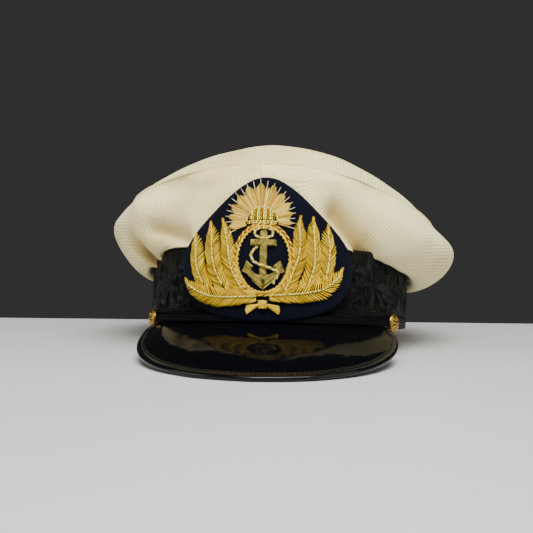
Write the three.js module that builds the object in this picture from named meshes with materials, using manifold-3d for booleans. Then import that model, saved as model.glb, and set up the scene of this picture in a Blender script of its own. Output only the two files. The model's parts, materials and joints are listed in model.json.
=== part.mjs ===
/**
 * A naval officer's peaked cap: a soft white cloth crown over a black braid band, a chin
 * strap held by two gilt buttons, a bound patent peak, and a gold-wire badge of anchor,
 * oval cord, sun and leaf sprays on a dark cloth patch.
 *
 * Millimetres, +Z up, front towards -Y, wearer's left towards +X. The cap is worked out
 * as worn, with the band's rim in the plane Z = 0. It is then tipped back until its peak
 * and the back of its band rest on one plane, and set down with the middle of its
 * footprint at the origin.
 */
import * as THREE from 'three';
import Module from 'manifold-3d';

const wasm = await Module();
wasm.setup();

// Driving sizes
const BAND_HALF_LENGTH = 102;
const BAND_HALF_WIDTH = 88.5;
const BAND_HEIGHT = 46.5;
const BAND_WALL = 2.5;
const CROWN_HALF_WIDTH = 121;
const CROWN_HEIGHT = 113;
const CROWN_WALL = 1.6;
const FRONT_LEAN = 3;
const FRONT_LEAN_TURN = 0.92;
const GAP = 0.3;

const PEAK_REACH = 53.3;
const PEAK_DROP = 30.5;
const PEAK_CORNER = THREE.MathUtils.degToRad(52);
const PEAK_THICKNESS = 2;
const BINDING_RADIUS = 2;
const PEAK_TOP = 0.2;
const PEAK_ARCH = 0.1;
const PEAK_PLATE_END = 0.985;
const BINDING_END = 1.02;

const STRAP_HEIGHT = 4.6;
const STRAP_THICKNESS = 1.8;
const STRAP_SOFTENING = 0.5;
const STRAP_END = THREE.MathUtils.degToRad(65);
const BUTTON_ANGLE = THREE.MathUtils.degToRad(59);
const BUTTON_RADIUS = 5.9;
const BUTTON_HEIGHT = 3.6;

const BADGE_HALF_WIDTH = 53;
const BADGE_HEIGHT = 86;
const PATCH_THICKNESS = 3.2;
const PATCH_BULGE = 1.2;
const WIRE_THICKNESS = 1.5;
const CORD_RADIUS = 1.4;
const ROPE_RADIUS = 0.8;

// Facet counts
const CROWN_COLUMNS = 60;
const CROWN_SIDE_ROWS = 11;
const CROWN_TOP_ROWS = 6;
const BAND_COLUMNS = 96;
const PEAK_COLUMNS = 36;
const CORD_SIDES = 6;

// The crown's sections by angle from the front, positive towards +X. Each "up" is a share of
// the height. Each "out" is a share of the half width, and underOut one of the band's radius.
const CROWN_SECTIONS = [
  { angle: -150, underOut: 1.061, underUp: 0.29, bellyOut: 0.96, bellyUp: 0.35,
    lobeOut: 1.04, lobeUp: 0.5, seamOut: 0.97, seamUp: 0.67, crestUp: 0.88 },
  { angle: -120, underOut: 1.059, underUp: 0.29, bellyOut: 0.92, bellyUp: 0.36,
    lobeOut: 1.01, lobeUp: 0.54, seamOut: 0.93, seamUp: 0.72, crestUp: 0.92 },
  { angle: -90, underOut: 1.053, underUp: 0.28, bellyOut: 0.90, bellyUp: 0.37,
    lobeOut: 1.0, lobeUp: 0.57, seamOut: 0.90, seamUp: 0.77, crestUp: 0.95 },
  { angle: -60, underOut: 1.046, underUp: 0.37, bellyOut: 0.88, bellyUp: 0.45,
    lobeOut: 0.94, lobeUp: 0.61, seamOut: 0.88, seamUp: 0.78, crestUp: 0.97 },
  { angle: -30, underOut: 1.024, underUp: 0.47, bellyOut: 0.85, bellyUp: 0.57,
    lobeOut: 0.86, lobeUp: 0.70, seamOut: 0.82, seamUp: 0.84, crestUp: 1.01 },
  { angle: 0, underOut: 1.014, underUp: 0.48, bellyOut: 0.867, bellyUp: 0.59,
    lobeOut: 0.86, lobeUp: 0.72, seamOut: 0.80, seamUp: 0.86, crestUp: 1.04 },
  { angle: 30, underOut: 1.024, underUp: 0.47, bellyOut: 0.85, bellyUp: 0.56,
    lobeOut: 0.86, lobeUp: 0.68, seamOut: 0.82, seamUp: 0.82, crestUp: 1.01 },
  { angle: 60, underOut: 1.046, underUp: 0.34, bellyOut: 0.89, bellyUp: 0.40,
    lobeOut: 0.95, lobeUp: 0.53, seamOut: 0.87, seamUp: 0.71, crestUp: 0.94 },
  { angle: 90, underOut: 1.053, underUp: 0.25, bellyOut: 0.91, bellyUp: 0.29,
    lobeOut: 1.01, lobeUp: 0.43, seamOut: 0.91, seamUp: 0.655, crestUp: 0.88 },
  { angle: 120, underOut: 1.059, underUp: 0.25, bellyOut: 0.92, bellyUp: 0.31,
    lobeOut: 1.02, lobeUp: 0.45, seamOut: 0.94, seamUp: 0.64, crestUp: 0.87 },
  { angle: 150, underOut: 1.061, underUp: 0.27, bellyOut: 0.96, bellyUp: 0.33,
    lobeOut: 1.04, lobeUp: 0.47, seamOut: 0.97, seamUp: 0.645, crestUp: 0.865 },
  { angle: 180, underOut: 1.056, underUp: 0.28, bellyOut: 0.98, bellyUp: 0.34,
    lobeOut: 1.05, lobeUp: 0.48, seamOut: 0.98, seamUp: 0.65, crestUp: 0.86 },
];
const CREST_OUT = 0.6;
const CENTRE_UP = 0.97;

// The peak by share of its corner angle: shares of its reach and of its drop.
const PEAK_SECTIONS = [
  { along: 0, reach: 1, drop: 1 },
  { along: 0.23, reach: 0.95, drop: 0.97 },
  { along: 0.35, reach: 0.885, drop: 0.92 },
  { along: 0.5, reach: 0.785, drop: 0.84 },
  { along: 0.7, reach: 0.60, drop: 0.67 },
  { along: 0.9, reach: 0.375, drop: 0.43 },
  { along: 1, reach: 0.22, drop: 0.22 },
];

// The patch's outline, from its point down one side, as shares of the badge's half width and height.
const PATCH_OUTLINE = [
  { across: 0, up: 1 },
  { across: 0.12, up: 0.985 },
  { across: 0.35, up: 0.905 },
  { across: 0.60, up: 0.765 },
  { across: 0.82, up: 0.625 },
  { across: 0.95, up: 0.52 },
  { across: 1, up: 0.42 },
  { across: 0.99, up: 0.29 },
  { across: 0.90, up: 0.17 },
  { across: 0.72, up: 0.09 },
  { across: 0.38, up: 0.03 },
  { across: 0, up: 0.005 },
];

// Leaves by name: tip and root as shares of the badge's half width and height, the vein's
// sideways bow and the leaf's half width as shares of the badge's half width.
const LEAVES = [
  { name: 'leaf_left_1', tipAcross: -0.81, tipUp: 0.635,
    rootAcross: -0.70, rootUp: 0.30, bow: 0.02, half: 0.085 },
  { name: 'leaf_left_2', tipAcross: -0.60, tipUp: 0.695,
    rootAcross: -0.44, rootUp: 0.265, bow: 0.05, half: 0.083 },
  { name: 'leaf_left_3', tipAcross: -0.455, tipUp: 0.705,
    rootAcross: -0.25, rootUp: 0.245, bow: 0.06, half: 0.062 },
  { name: 'leaf_left_4', tipAcross: -0.95, tipUp: 0.315,
    rootAcross: -0.09, rootUp: 0.16, bow: 0.10, half: 0.08 },
  { name: 'leaf_right_1', tipAcross: 0.69, tipUp: 0.69,
    rootAcross: 0.66, rootUp: 0.335, bow: -0.02, half: 0.078 },
  { name: 'leaf_right_2', tipAcross: 0.515, tipUp: 0.72,
    rootAcross: 0.46, rootUp: 0.29, bow: -0.05, half: 0.068 },
  { name: 'leaf_right_3', tipAcross: 0.37, tipUp: 0.73,
    rootAcross: 0.25, rootUp: 0.245, bow: -0.085, half: 0.06 },
  { name: 'leaf_right_4', tipAcross: 0.86, tipUp: 0.385,
    rootAcross: 0.09, rootUp: 0.165, bow: -0.135, half: 0.075 },
];
const LEAF_WIDTHS = [
  { along: 0, half: 0.22 },
  { along: 0.15, half: 0.62 },
  { along: 0.4, half: 1 },
  { along: 0.65, half: 0.92 },
  { along: 0.85, half: 0.6 },
  { along: 1, half: 0.1 },
];

// The sun above the anchor: a half disc with petals
const SUN_UP = 0.71;
const SUN_DOME_RADIUS = 8.2;
const SUN_HALF_WIDTH = 16.8;
const SUN_HEIGHT = 22.5;
const SUN_RISE = 2.4;
const SUN_PETALS = 11;
const SUN_VALLEY = 0.62;

const OVAL_UP = 0.435;
const OVAL_HALF_WIDTH = 15.2;
const OVAL_HALF_HEIGHT = 20.5;

// The anchor's bars from the oval's middle: across and half as shares of the oval's half
// width, and up as a share of its half height. The arm is the one on the right.
const ANCHOR_SHANK = [
  { across: 0, up: 0.756, half: 0.105 },
  { across: 0, up: 0, half: 0.118 },
  { across: 0, up: -0.707, half: 0.132 },
];
const ANCHOR_STOCK = [
  { across: -0.46, up: 0.473, half: 0.105 },
  { across: 0, up: 0.473, half: 0.138 },
  { across: 0.46, up: 0.473, half: 0.105 },
];
const ANCHOR_ARM = [
  { across: 0, up: -0.756, half: 0.145 },
  { across: 0.296, up: -0.639, half: 0.138 },
  { across: 0.5, up: -0.444, half: 0.145 },
  { across: 0.566, up: -0.244, half: 0.19 },
  { across: 0.566, up: -0.024, half: 0.026 },
];
const RING_UP = 0.712;
const RING_HALF_WIDTH = 0.303;
const RING_HALF_HEIGHT = 0.107;

// The anchor's rope, as shares of the same half sizes; over tells where it lies on the anchor.
const ROPE_TURNS = [
  { across: -0.224, up: 0.322, over: 0 },
  { across: -0.408, up: 0.156, over: 0 },
  { across: -0.368, up: -0.029, over: 0 },
  { across: -0.224, up: -0.117, over: 1 },
  { across: 0, up: -0.176, over: 1 },
  { across: 0.224, up: -0.254, over: 1 },
  { across: 0.487, up: -0.38, over: 1 },
];

// The ribbon below the oval, as shares of the badge's half width and height.
const RIBBON_TIE = [
  { across: 0, up: 0.095, half: 0.036 },
  { across: 0, up: 0.125, half: 0.042 },
  { across: 0, up: 0.151, half: 0.036 },
];
const RIBBON_TAIL = [
  { across: 0, up: 0.125, half: 0.026 },
  { across: 0.094, up: 0.106, half: 0.036 },
  { across: 0.189, up: 0.076, half: 0.023 },
];

const COLOURS = {
  whiteCloth: { color: 0xd9cfb8, roughness: 0.85, metalness: 0 },
  blackBraid: { color: 0x101012, roughness: 0.75, metalness: 0 },
  patent: { color: 0x08090b, roughness: 0.12, metalness: 0 },
  gilt: { color: 0xc9a04a, roughness: 0.3, metalness: 1 },
  navyCloth: { color: 0x0a0e23, roughness: 0.9, metalness: 0 },
  goldWire: { color: 0xcda046, roughness: 0.4, metalness: 1 },
  brightWire: { color: 0xebd764, roughness: 0.35, metalness: 1 },
  paleWire: { color: 0xd7b47d, roughness: 0.4, metalness: 1 },
  oliveWire: { color: 0xaa9655, roughness: 0.45, metalness: 1 },
};

/** One column of a table at x, through a smooth curve; a period makes the table wrap. */
function lookUp(rows, key, column, x, period = 0) {
  const at = (i) => {
    if (!period) return rows[THREE.MathUtils.clamp(i, 0, rows.length - 1)];
    const turn = Math.floor(i / rows.length);
    const row = rows[i - turn * rows.length];
    return { ...row, [key]: row[key] + turn * period };
  };
  let i = 0;
  if (period) {
    while (x < rows[0][key]) x += period;
    while (x >= rows[0][key] + period) x -= period;
  }
  while (i < rows.length - (period ? 1 : 2) && x >= at(i + 1)[key]) i += 1;
  const [p, a, b, n] = [at(i - 1), at(i), at(i + 1), at(i + 2)];
  const span = b[key] - a[key];
  const slope = (l, r) => (r[key] > l[key] ? (r[column] - l[column]) / (r[key] - l[key]) : 0);
  const t = THREE.MathUtils.clamp((x - a[key]) / span, 0, 1);
  const [ma, mb] = [slope(p, b) * span, slope(a, n) * span];
  const [t2, t3] = [t * t, t * t * t];
  return (2 * t3 - 3 * t2 + 1) * a[column] + (t3 - 2 * t2 + t) * ma
    + (3 * t2 - 2 * t3) * b[column] + (t3 - t2) * mb;
}

/** A closed body through loops of equal length: joined end to end, or capped at both ends. */
function loopsBody(loops, { ring = false } = {}) {
  const count = loops[0].length;
  const points = loops.flat();
  const faces = [];
  const last = ring ? loops.length : loops.length - 1;
  for (let i = 0; i < last; i += 1) {
    const [a, b] = [i * count, ((i + 1) % loops.length) * count];
    for (let j = 0; j < count; j += 1) {
      const k = (j + 1) % count;
      faces.push([a + j, a + k, b + k], [a + j, b + k, b + j]);
    }
  }
  if (!ring) {
    for (const end of [0, loops.length - 1]) {
      const centre = new THREE.Vector3();
      loops[end].forEach((p) => centre.addScaledVector(p, 1 / count));
      points.push(centre);
      for (let j = 0; j < count; j += 1) {
        const edge = [end * count + j, end * count + ((j + 1) % count)];
        if (end === 0) edge.reverse();
        faces.push([points.length - 1, ...edge]);
      }
    }
  }
  let volume = 0;
  for (const [a, b, c] of faces) {
    volume += points[a].dot(points[b].clone().cross(points[c]));
  }
  if (volume < 0) faces.forEach((face) => face.reverse());
  const geometry = new THREE.BufferGeometry();
  const numbers = points.flatMap((p) => p.toArray());
  geometry.setAttribute('position', new THREE.Float32BufferAttribute(numbers, 3));
  geometry.setIndex(faces.flat());
  return geometry;
}

/** Joins overlapping bodies into one. */
function joined(geometries) {
  const solids = geometries.map((geometry) => {
    const mesh = new wasm.Mesh({
      numProp: 3,
      vertProperties: new Float32Array(geometry.attributes.position.array),
      triVerts: new Uint32Array(geometry.index.array),
    });
    return new wasm.Manifold(mesh);
  });
  const mesh = solids.reduce((a, b) => a.add(b)).getMesh();
  const geometry = new THREE.BufferGeometry();
  geometry.setAttribute('position', new THREE.BufferAttribute(mesh.vertProperties, 3));
  geometry.setIndex(new THREE.BufferAttribute(mesh.triVerts, 1));
  return geometry;
}

const worn = new THREE.Group();

function addPiece(name, geometry, finish) {
  const flat = geometry.index ? geometry.toNonIndexed() : geometry;
  flat.computeVertexNormals();
  const mesh = new THREE.Mesh(flat, new THREE.MeshStandardMaterial(finish));
  mesh.name = name;
  worn.add(mesh);
}

/** A point on the band's outer face at an ellipse angle, pushed out by a distance. */
function bandPoint(phi, out, up) {
  const normal = bandNormal(phi);
  return new THREE.Vector3(
    BAND_HALF_WIDTH * Math.sin(phi) + normal.x * out,
    -BAND_HALF_LENGTH * Math.cos(phi) + normal.y * out,
    up,
  );
}

function bandNormal(phi) {
  const normal = new THREE.Vector3(Math.sin(phi) / BAND_HALF_WIDTH, -Math.cos(phi) / BAND_HALF_LENGTH, 0);
  return normal.normalize();
}

/** The ellipse angle reached by an arc along the band from its front. */
function angleOfArc(arc) {
  const steps = 24;
  let phi = 0;
  for (let i = 0; i < steps; i += 1) {
    phi += arc / steps / Math.hypot(BAND_HALF_WIDTH * Math.cos(phi), BAND_HALF_LENGTH * Math.sin(phi));
  }
  return phi;
}

/** How far the crown's front leans out over the band at a height. */
function frontLean(up) {
  const t = THREE.MathUtils.clamp(up / BADGE_HEIGHT, 0, 1);
  return FRONT_LEAN * Math.sin(Math.PI * t * FRONT_LEAN_TURN);
}

/** A point over the badge: arc across, height, and distance out from the leaning front. */
function onFront(across, up, out) {
  return bandPoint(angleOfArc(across), frontLean(up) + out, up);
}

// Crown
/** A point on the cloth's outer face: rows 0 to 1 are the side panel, 1 to 2 the top. */
function sectionPoint(angle, v) {
  const degrees = THREE.MathUtils.radToDeg(angle);
  const read = (column) => lookUp(CROWN_SECTIONS, 'angle', column, degrees, 360);
  const bandRadius = 1 / Math.hypot(Math.sin(angle) / BAND_HALF_WIDTH, Math.cos(angle) / BAND_HALF_LENGTH);
  const [w, h] = [CROWN_HALF_WIDTH, CROWN_HEIGHT];
  const hem = new THREE.Vector3(bandRadius + GAP, 0, BAND_HEIGHT + 2 * GAP);
  const seam = new THREE.Vector3(read('seamOut') * w, 0, read('seamUp') * h);
  const side = new THREE.CatmullRomCurve3([
    hem,
    new THREE.Vector3(read('underOut') * bandRadius, 0, read('underUp') * h),
    new THREE.Vector3(read('bellyOut') * w, 0, read('bellyUp') * h),
    new THREE.Vector3(read('lobeOut') * w, 0, read('lobeUp') * h),
    seam,
  ], false, 'centripetal');
  const top = new THREE.CatmullRomCurve3([
    seam,
    new THREE.Vector3(seam.x * CREST_OUT, 0, read('crestUp') * h),
    new THREE.Vector3(0, 0, CENTRE_UP * h),
  ], false, 'centripetal');
  const p = v <= 1 ? side.getPoint(v) : top.getPoint(v - 1);
  return settle(new THREE.Vector3(p.x * Math.sin(angle), -p.x * Math.cos(angle), p.z));
}

/** Lays the crown's front against the back of the badge's patch. */
function settle(p) {
  const phi = Math.atan2(p.x / BAND_HALF_WIDTH, -p.y / BAND_HALF_LENGTH);
  const { smoothstep } = THREE.MathUtils;
  const aside = 1 - smoothstep(Math.abs(phi), 0.62, 1.0);
  const upper = 1 - smoothstep(p.z, BADGE_HEIGHT, CROWN_HEIGHT * 0.85);
  const foot = bandPoint(phi, 0, p.z);
  const out = p.clone().sub(foot).dot(bandNormal(phi));
  const wanted = frontLean(p.z);
  return p.clone().addScaledVector(bandNormal(phi), (wanted - out) * aside * upper);
}

function sectionNormal(angle, v) {
  const step = 0.01;
  const [low, high] = [Math.max(v - step, 0), Math.min(v + step, 2 - step)];
  const across = sectionPoint(angle + step, v).sub(sectionPoint(angle - step, v));
  const up = sectionPoint(angle, high).sub(sectionPoint(angle, low));
  return across.cross(up).normalize();
}

/** Outer and inner rings of the cloth at one row. */
function clothRings(v, shift = 0) {
  const outer = [];
  const inner = [];
  for (let i = 0; i < CROWN_COLUMNS; i += 1) {
    const angle = (i / CROWN_COLUMNS) * 2 * Math.PI;
    const normal = sectionNormal(angle, v);
    const p = sectionPoint(angle, v);
    if (shift) {
      const tangent = new THREE.Vector3(Math.cos(angle), Math.sin(angle), 0);
      p.addScaledVector(normal.clone().cross(tangent), shift);
    }
    outer.push(p);
    inner.push(p.clone().addScaledVector(normal, -CROWN_WALL));
  }
  return { outer, inner };
}

const sideRows = Array.from({ length: CROWN_SIDE_ROWS }, (_, i) => clothRings(i / (CROWN_SIDE_ROWS - 1)));
addPiece('crown_side', loopsBody([
  ...sideRows.map((row) => row.outer),
  ...sideRows.map((row) => row.inner).reverse(),
], { ring: true }), COLOURS.whiteCloth);

const topRows = Array.from({ length: CROWN_TOP_ROWS }, (_, i) => {
  const v = 1 + (i / CROWN_TOP_ROWS) * 0.97;
  return clothRings(v, i === 0 ? 2 * GAP : 0);
});
addPiece('crown_top', loopsBody([
  ...topRows.map((row) => row.outer).reverse(),
  ...topRows.map((row) => row.inner),
]), COLOURS.whiteCloth);

// Band, chin strap and buttons
const bandAngles = Array.from({ length: BAND_COLUMNS }, (_, i) => (i / BAND_COLUMNS) * 2 * Math.PI);
const bandLoop = (out, up) => bandAngles.map((phi) => bandPoint(phi, out, up));
addPiece('band', loopsBody([
  bandLoop(0, 0),
  bandLoop(0, BAND_HEIGHT),
  bandLoop(-BAND_WALL, BAND_HEIGHT),
  bandLoop(-BAND_WALL, 0),
], { ring: true }), COLOURS.blackBraid);

const strapFoot = PEAK_TOP + GAP;
const strapHead = strapFoot + STRAP_HEIGHT;

/** A strap's cross-section at an ellipse angle, with softened edges. */
function strapSection(phi) {
  const corner = STRAP_SOFTENING;
  const [near, far] = [GAP, GAP + STRAP_THICKNESS];
  const [foot, head] = [strapFoot, strapHead];
  return [
    bandPoint(phi, near, foot),
    bandPoint(phi, far - corner, foot),
    bandPoint(phi, far, foot + corner),
    bandPoint(phi, far, head - corner),
    bandPoint(phi, far - corner, head),
    bandPoint(phi, near, head),
  ];
}

const strapColumns = 48;
addPiece('chin_strap', loopsBody(
  Array.from({ length: strapColumns + 1 }, (_, i) => strapSection((i / strapColumns * 2 - 1) * STRAP_END)),
), COLOURS.patent);

/** A domed button that stands off the strap at an ellipse angle. */
function button(phi) {
  const profile = [
    [0, 0],
    [BUTTON_RADIUS * 0.8, 0],
    [BUTTON_RADIUS, 0.6],
    [BUTTON_RADIUS, 1.2],
    [BUTTON_RADIUS * 0.9, BUTTON_HEIGHT * 0.62],
    [BUTTON_RADIUS * 0.55, BUTTON_HEIGHT * 0.92],
    [0, BUTTON_HEIGHT],
  ].map(([r, h]) => new THREE.Vector2(r, h));
  const geometry = new THREE.LatheGeometry(profile, 20);
  const outward = bandNormal(phi);
  const turn = new THREE.Quaternion().setFromUnitVectors(new THREE.Vector3(0, 1, 0), outward);
  const sag = BUTTON_RADIUS ** 2 / (2 * BAND_HALF_WIDTH) * 0.3;
  const seat = bandPoint(phi, 2 * GAP + STRAP_THICKNESS + sag, (strapFoot + strapHead) / 2);
  geometry.applyQuaternion(turn);
  geometry.translate(seat.x, seat.y, seat.z);
  return geometry;
}

addPiece('button_left', button(-BUTTON_ANGLE), COLOURS.gilt);
addPiece('button_right', button(BUTTON_ANGLE), COLOURS.gilt);

// Peak
/** A point on the peak's upper face: share of the corner angle, and distance out from the band. */
function peakPoint(along, out, below = 0) {
  const phi = along * PEAK_CORNER;
  const reach = PEAK_REACH * lookUp(PEAK_SECTIONS, 'along', 'reach', Math.abs(along));
  const drop = PEAK_DROP * lookUp(PEAK_SECTIONS, 'along', 'drop', Math.abs(along));
  const share = out / reach;
  const arch = PEAK_ARCH * Math.sin(Math.PI * THREE.MathUtils.clamp(share, 0, 1));
  return bandPoint(phi, GAP + out, PEAK_TOP - drop * (share - arch) - below);
}

const peakReach = (along) => PEAK_REACH * lookUp(PEAK_SECTIONS, 'along', 'reach', Math.abs(along));

/** How much longer a distance square to the peak's edge grows along the ray from the band. */
function edgeSlant(along) {
  const step = 0.01;
  const edge = (a) => peakPoint(a, peakReach(a));
  const run = edge(along + step).sub(edge(along - step)).normalize();
  const ray = bandNormal(along * PEAK_CORNER);
  return 1 / ray.clone().cross(new THREE.Vector3(run.x, run.y, 0).normalize()).length();
}

function peakSection(along) {
  const plate = peakReach(along) - (2 * BINDING_RADIUS + GAP) * edgeSlant(along);
  const stations = [0, 0.2, 0.4, 0.6, 0.8, 1];
  return [
    ...stations.map((s) => peakPoint(along, s * plate)),
    ...stations.map((s) => peakPoint(along, s * plate, PEAK_THICKNESS)).reverse(),
  ];
}

const peakAlong = (i, end) => (i / PEAK_COLUMNS * 2 - 1) * end;
addPiece('peak', loopsBody(
  Array.from({ length: PEAK_COLUMNS + 1 }, (_, i) => peakSection(peakAlong(i, PEAK_PLATE_END))),
), COLOURS.patent);

/** Loops of a tube along points, each loop square to the path. */
function tubeLoops(path, radius, { closed = false, lift = null } = {}) {
  return path.map((p, i) => {
    const before = path[closed ? (i + path.length - 1) % path.length : Math.max(i - 1, 0)];
    const after = path[closed ? (i + 1) % path.length : Math.min(i + 1, path.length - 1)];
    const along = after.clone().sub(before).normalize();
    const up = (lift ? lift(p) : new THREE.Vector3(0, 0, 1)).clone();
    const side = along.clone().cross(up).normalize();
    up.crossVectors(side, along);
    return Array.from({ length: CORD_SIDES }, (_, k) => {
      const turn = (k / CORD_SIDES) * 2 * Math.PI;
      const [across, above] = [radius * Math.cos(turn), radius * Math.sin(turn)];
      return p.clone().addScaledVector(side, across).addScaledVector(up, above);
    });
  });
}

/** The binding's middle over the edge, then round the peak's corner and in to the band. */
const bindingOut = (along) => peakReach(along) - BINDING_RADIUS * edgeSlant(along);
const cornerTurn = [0.6, 0.15].map((share) => [BINDING_END, share * bindingOut(1)]);
const bindingPath = [
  ...cornerTurn.map(([along, out]) => [-along, out]).reverse(),
  ...Array.from({ length: PEAK_COLUMNS + 1 }, (_, i) => [peakAlong(i, 1), bindingOut(peakAlong(i, 1))]),
  ...cornerTurn,
].map(([along, out]) => peakPoint(along, Math.max(out, BINDING_RADIUS + GAP), PEAK_THICKNESS / 2));
addPiece('peak_binding', loopsBody(tubeLoops(bindingPath, BINDING_RADIUS)), COLOURS.patent);

// Badge patch
const patchSide = new THREE.CatmullRomCurve3(
  PATCH_OUTLINE.map(({ across, up }) => new THREE.Vector3(across * BADGE_HALF_WIDTH, up * BADGE_HEIGHT, 0)),
  false,
  'centripetal',
);
const patchHalf = patchSide.getSpacedPoints(20);
const patchOutline = [
  ...patchHalf,
  ...patchHalf.slice(1, -1).reverse().map((p) => new THREE.Vector3(-p.x, p.y, 0)),
];
const patchCentre = { across: 0, up: 0.42 * BADGE_HEIGHT };

/** Distance of the patch's back from the leaning front: it steps out over the chin strap. */
function patchBack(up) {
  const over = 1 - THREE.MathUtils.smoothstep(up, strapHead + GAP, strapHead + 5);
  return GAP + (STRAP_THICKNESS + GAP) * over;
}

function patchLoop(share, out) {
  return patchOutline.map((p) => {
    const across = patchCentre.across + (p.x - patchCentre.across) * share;
    const up = patchCentre.up + (p.y - patchCentre.up) * share;
    return onFront(across, up, out(up));
  });
}

/** Distance of the patch's face from the leaning front, at its edge. */
const patchFace = GAP + PATCH_THICKNESS;

const patchShares = [0.15, 0.4, 0.65, 0.85, 0.95];
addPiece('badge_patch', loopsBody([
  ...patchShares.map((share) => patchLoop(share, patchBack)),
  patchLoop(1, patchBack),
  patchLoop(1, () => 0.8 * patchFace),
  ...patchShares.map((share) => patchLoop(share, () => patchFace + PATCH_BULGE * (1 - share))).reverse(),
]), COLOURS.navyCloth);

// Gold-wire pieces
/** A raised strip on the patch along stations of across, up and half width. */
function strip(stations, from = GAP, thickness = WIRE_THICKNESS) {
  return loopsBody(stations.map(({ across, up, half }, i) => {
    const before = stations[Math.max(i - 1, 0)];
    const after = stations[Math.min(i + 1, stations.length - 1)];
    const along = new THREE.Vector2(after.across - before.across, after.up - before.up).normalize();
    const [sx, sy] = [along.y, -along.x];
    const at = (side, out) => badgePoint(across + sx * side * half, up + sy * side * half, out);
    return [
      at(-1, from),
      at(0, from),
      at(1, from),
      at(0.9, from + thickness * 0.6),
      at(0, from + thickness),
      at(-0.9, from + thickness * 0.6),
    ];
  }));
}

/** How far the patch stands out at a place of the badge, with its padding. */
function patchRise(across, up) {
  const [du, dv] = [across - patchCentre.across, up - patchCentre.up];
  const angle = Math.atan2(dv, du);
  let edge = Infinity;
  for (const [i, p] of patchOutline.entries()) {
    const q = patchOutline[(i + 1) % patchOutline.length];
    const [px, py] = [p.x - patchCentre.across, p.y - patchCentre.up];
    const [qx, qy] = [q.x - patchCentre.across, q.y - patchCentre.up];
    const [dx, dy] = [Math.cos(angle), Math.sin(angle)];
    const [a, b] = [px * dy - py * dx, qx * dy - qy * dx];
    if ((a <= 0 && b > 0) || (a > 0 && b <= 0)) {
      const t = a / (a - b);
      const reach = (px + (qx - px) * t) * dx + (py + (qy - py) * t) * dy;
      if (reach > 0) edge = Math.min(edge, reach);
    }
  }
  const share = Math.hypot(du, dv) / edge;
  return patchFace + PATCH_BULGE * (1 - Math.min(share, 0.95));
}

/** A point at a distance out from the patch's padded face. */
const badgePoint = (across, up, out) => onFront(across, up, patchRise(across, up) + out);

/** A cord laid on the badge along stations of across, up and lift. */
function cord(stations, radius, closed = false) {
  const path = stations.map(({ across, up, lift }) => badgePoint(across, up, lift + radius));
  const outward = (p) => bandNormal(Math.atan2(p.x / BAND_HALF_WIDTH, -p.y / BAND_HALF_LENGTH));
  return loopsBody(tubeLoops(path, radius, { closed, lift: outward }), { ring: closed });
}

for (const leaf of LEAVES) {
  const count = 9;
  const [w, h] = [BADGE_HALF_WIDTH, BADGE_HEIGHT];
  const root = new THREE.Vector2(leaf.rootAcross * w, leaf.rootUp * h);
  const tip = new THREE.Vector2(leaf.tipAcross * w, leaf.tipUp * h);
  const along = tip.clone().sub(root).normalize();
  const stations = Array.from({ length: count }, (_, i) => {
    const t = i / (count - 1);
    const bow = leaf.bow * w * Math.sin(Math.PI * t);
    const p = root.clone().lerp(tip, t);
    return {
      across: p.x - along.y * bow,
      up: p.y + along.x * bow,
      half: leaf.half * w * lookUp(LEAF_WIDTHS, 'along', 'half', t),
    };
  });
  addPiece(leaf.name, strip(stations), COLOURS.goldWire);
}

const sunCentre = { across: 0, up: SUN_UP * BADGE_HEIGHT };
const sunPoint = (angle, radius, out) => badgePoint(
  sunCentre.across + radius * Math.cos(angle),
  sunCentre.up + radius * Math.sin(angle),
  out,
);
const sunSteps = SUN_PETALS * 4;
addPiece('sun_rays', loopsBody(Array.from({ length: sunSteps + 1 }, (_, i) => {
  const angle = -0.12 + (i / sunSteps) * (Math.PI + 0.24);
  const wave = 0.5 - 0.5 * Math.cos((i / sunSteps) * SUN_PETALS * 2 * Math.PI);
  const petal = 1 / Math.hypot(Math.cos(angle) / SUN_HALF_WIDTH, Math.sin(angle) / SUN_HEIGHT);
  const reach = petal * (SUN_VALLEY + (1 - SUN_VALLEY) * wave);
  const inside = SUN_DOME_RADIUS + 2 * GAP;
  const radii = [0, 0.33, 0.67, 1].map((t) => inside + (reach - inside) * t);
  return [
    ...radii.map((r) => sunPoint(angle, r, GAP)),
    ...radii.map((r, k) => sunPoint(angle, r, GAP + WIRE_THICKNESS * (1 - 0.15 * k))).reverse(),
  ];
})), COLOURS.paleWire);

const domeOutline = [
  ...Array.from({ length: 15 }, (_, i) => {
    const angle = (i / 14) * Math.PI;
    return new THREE.Vector2(Math.cos(angle), Math.sin(angle)).multiplyScalar(SUN_DOME_RADIUS);
  }),
  ...[-0.67, -0.33, 0, 0.33, 0.67].map((share) => new THREE.Vector2(share * SUN_DOME_RADIUS, 0)),
];
const domeMiddle = new THREE.Vector2(0, SUN_DOME_RADIUS * 0.42);
const domeLoop = (share, out) => domeOutline.map((p) => {
  const q = domeMiddle.clone().lerp(p, share);
  return badgePoint(sunCentre.across + q.x, sunCentre.up + q.y, out);
});
addPiece('sun_dome', loopsBody([
  domeLoop(0.4, GAP),
  domeLoop(1, GAP),
  domeLoop(1, GAP + SUN_RISE * 0.4),
  domeLoop(0.8, GAP + SUN_RISE * 0.8),
  domeLoop(0.4, GAP + SUN_RISE),
]), COLOURS.brightWire);

const ovalSteps = 40;
const ovalStations = Array.from({ length: ovalSteps }, (_, i) => {
  const turn = (i / ovalSteps) * 2 * Math.PI;
  return {
    across: OVAL_HALF_WIDTH * Math.cos(turn),
    up: OVAL_UP * BADGE_HEIGHT + OVAL_HALF_HEIGHT * Math.sin(turn),
    lift: GAP,
  };
});
addPiece('oval_cord', cord(ovalStations, CORD_RADIUS, true), COLOURS.goldWire);

/** Stations of a bar from a table of shares, mirrored across where side is -1. */
const bar = (rows, halfWidth, halfHeight, middle, side = 1) => rows.map(({ across, up, half }) => ({
  across: side * across * halfWidth,
  up: middle + up * halfHeight,
  half: half * halfWidth,
}));

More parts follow.
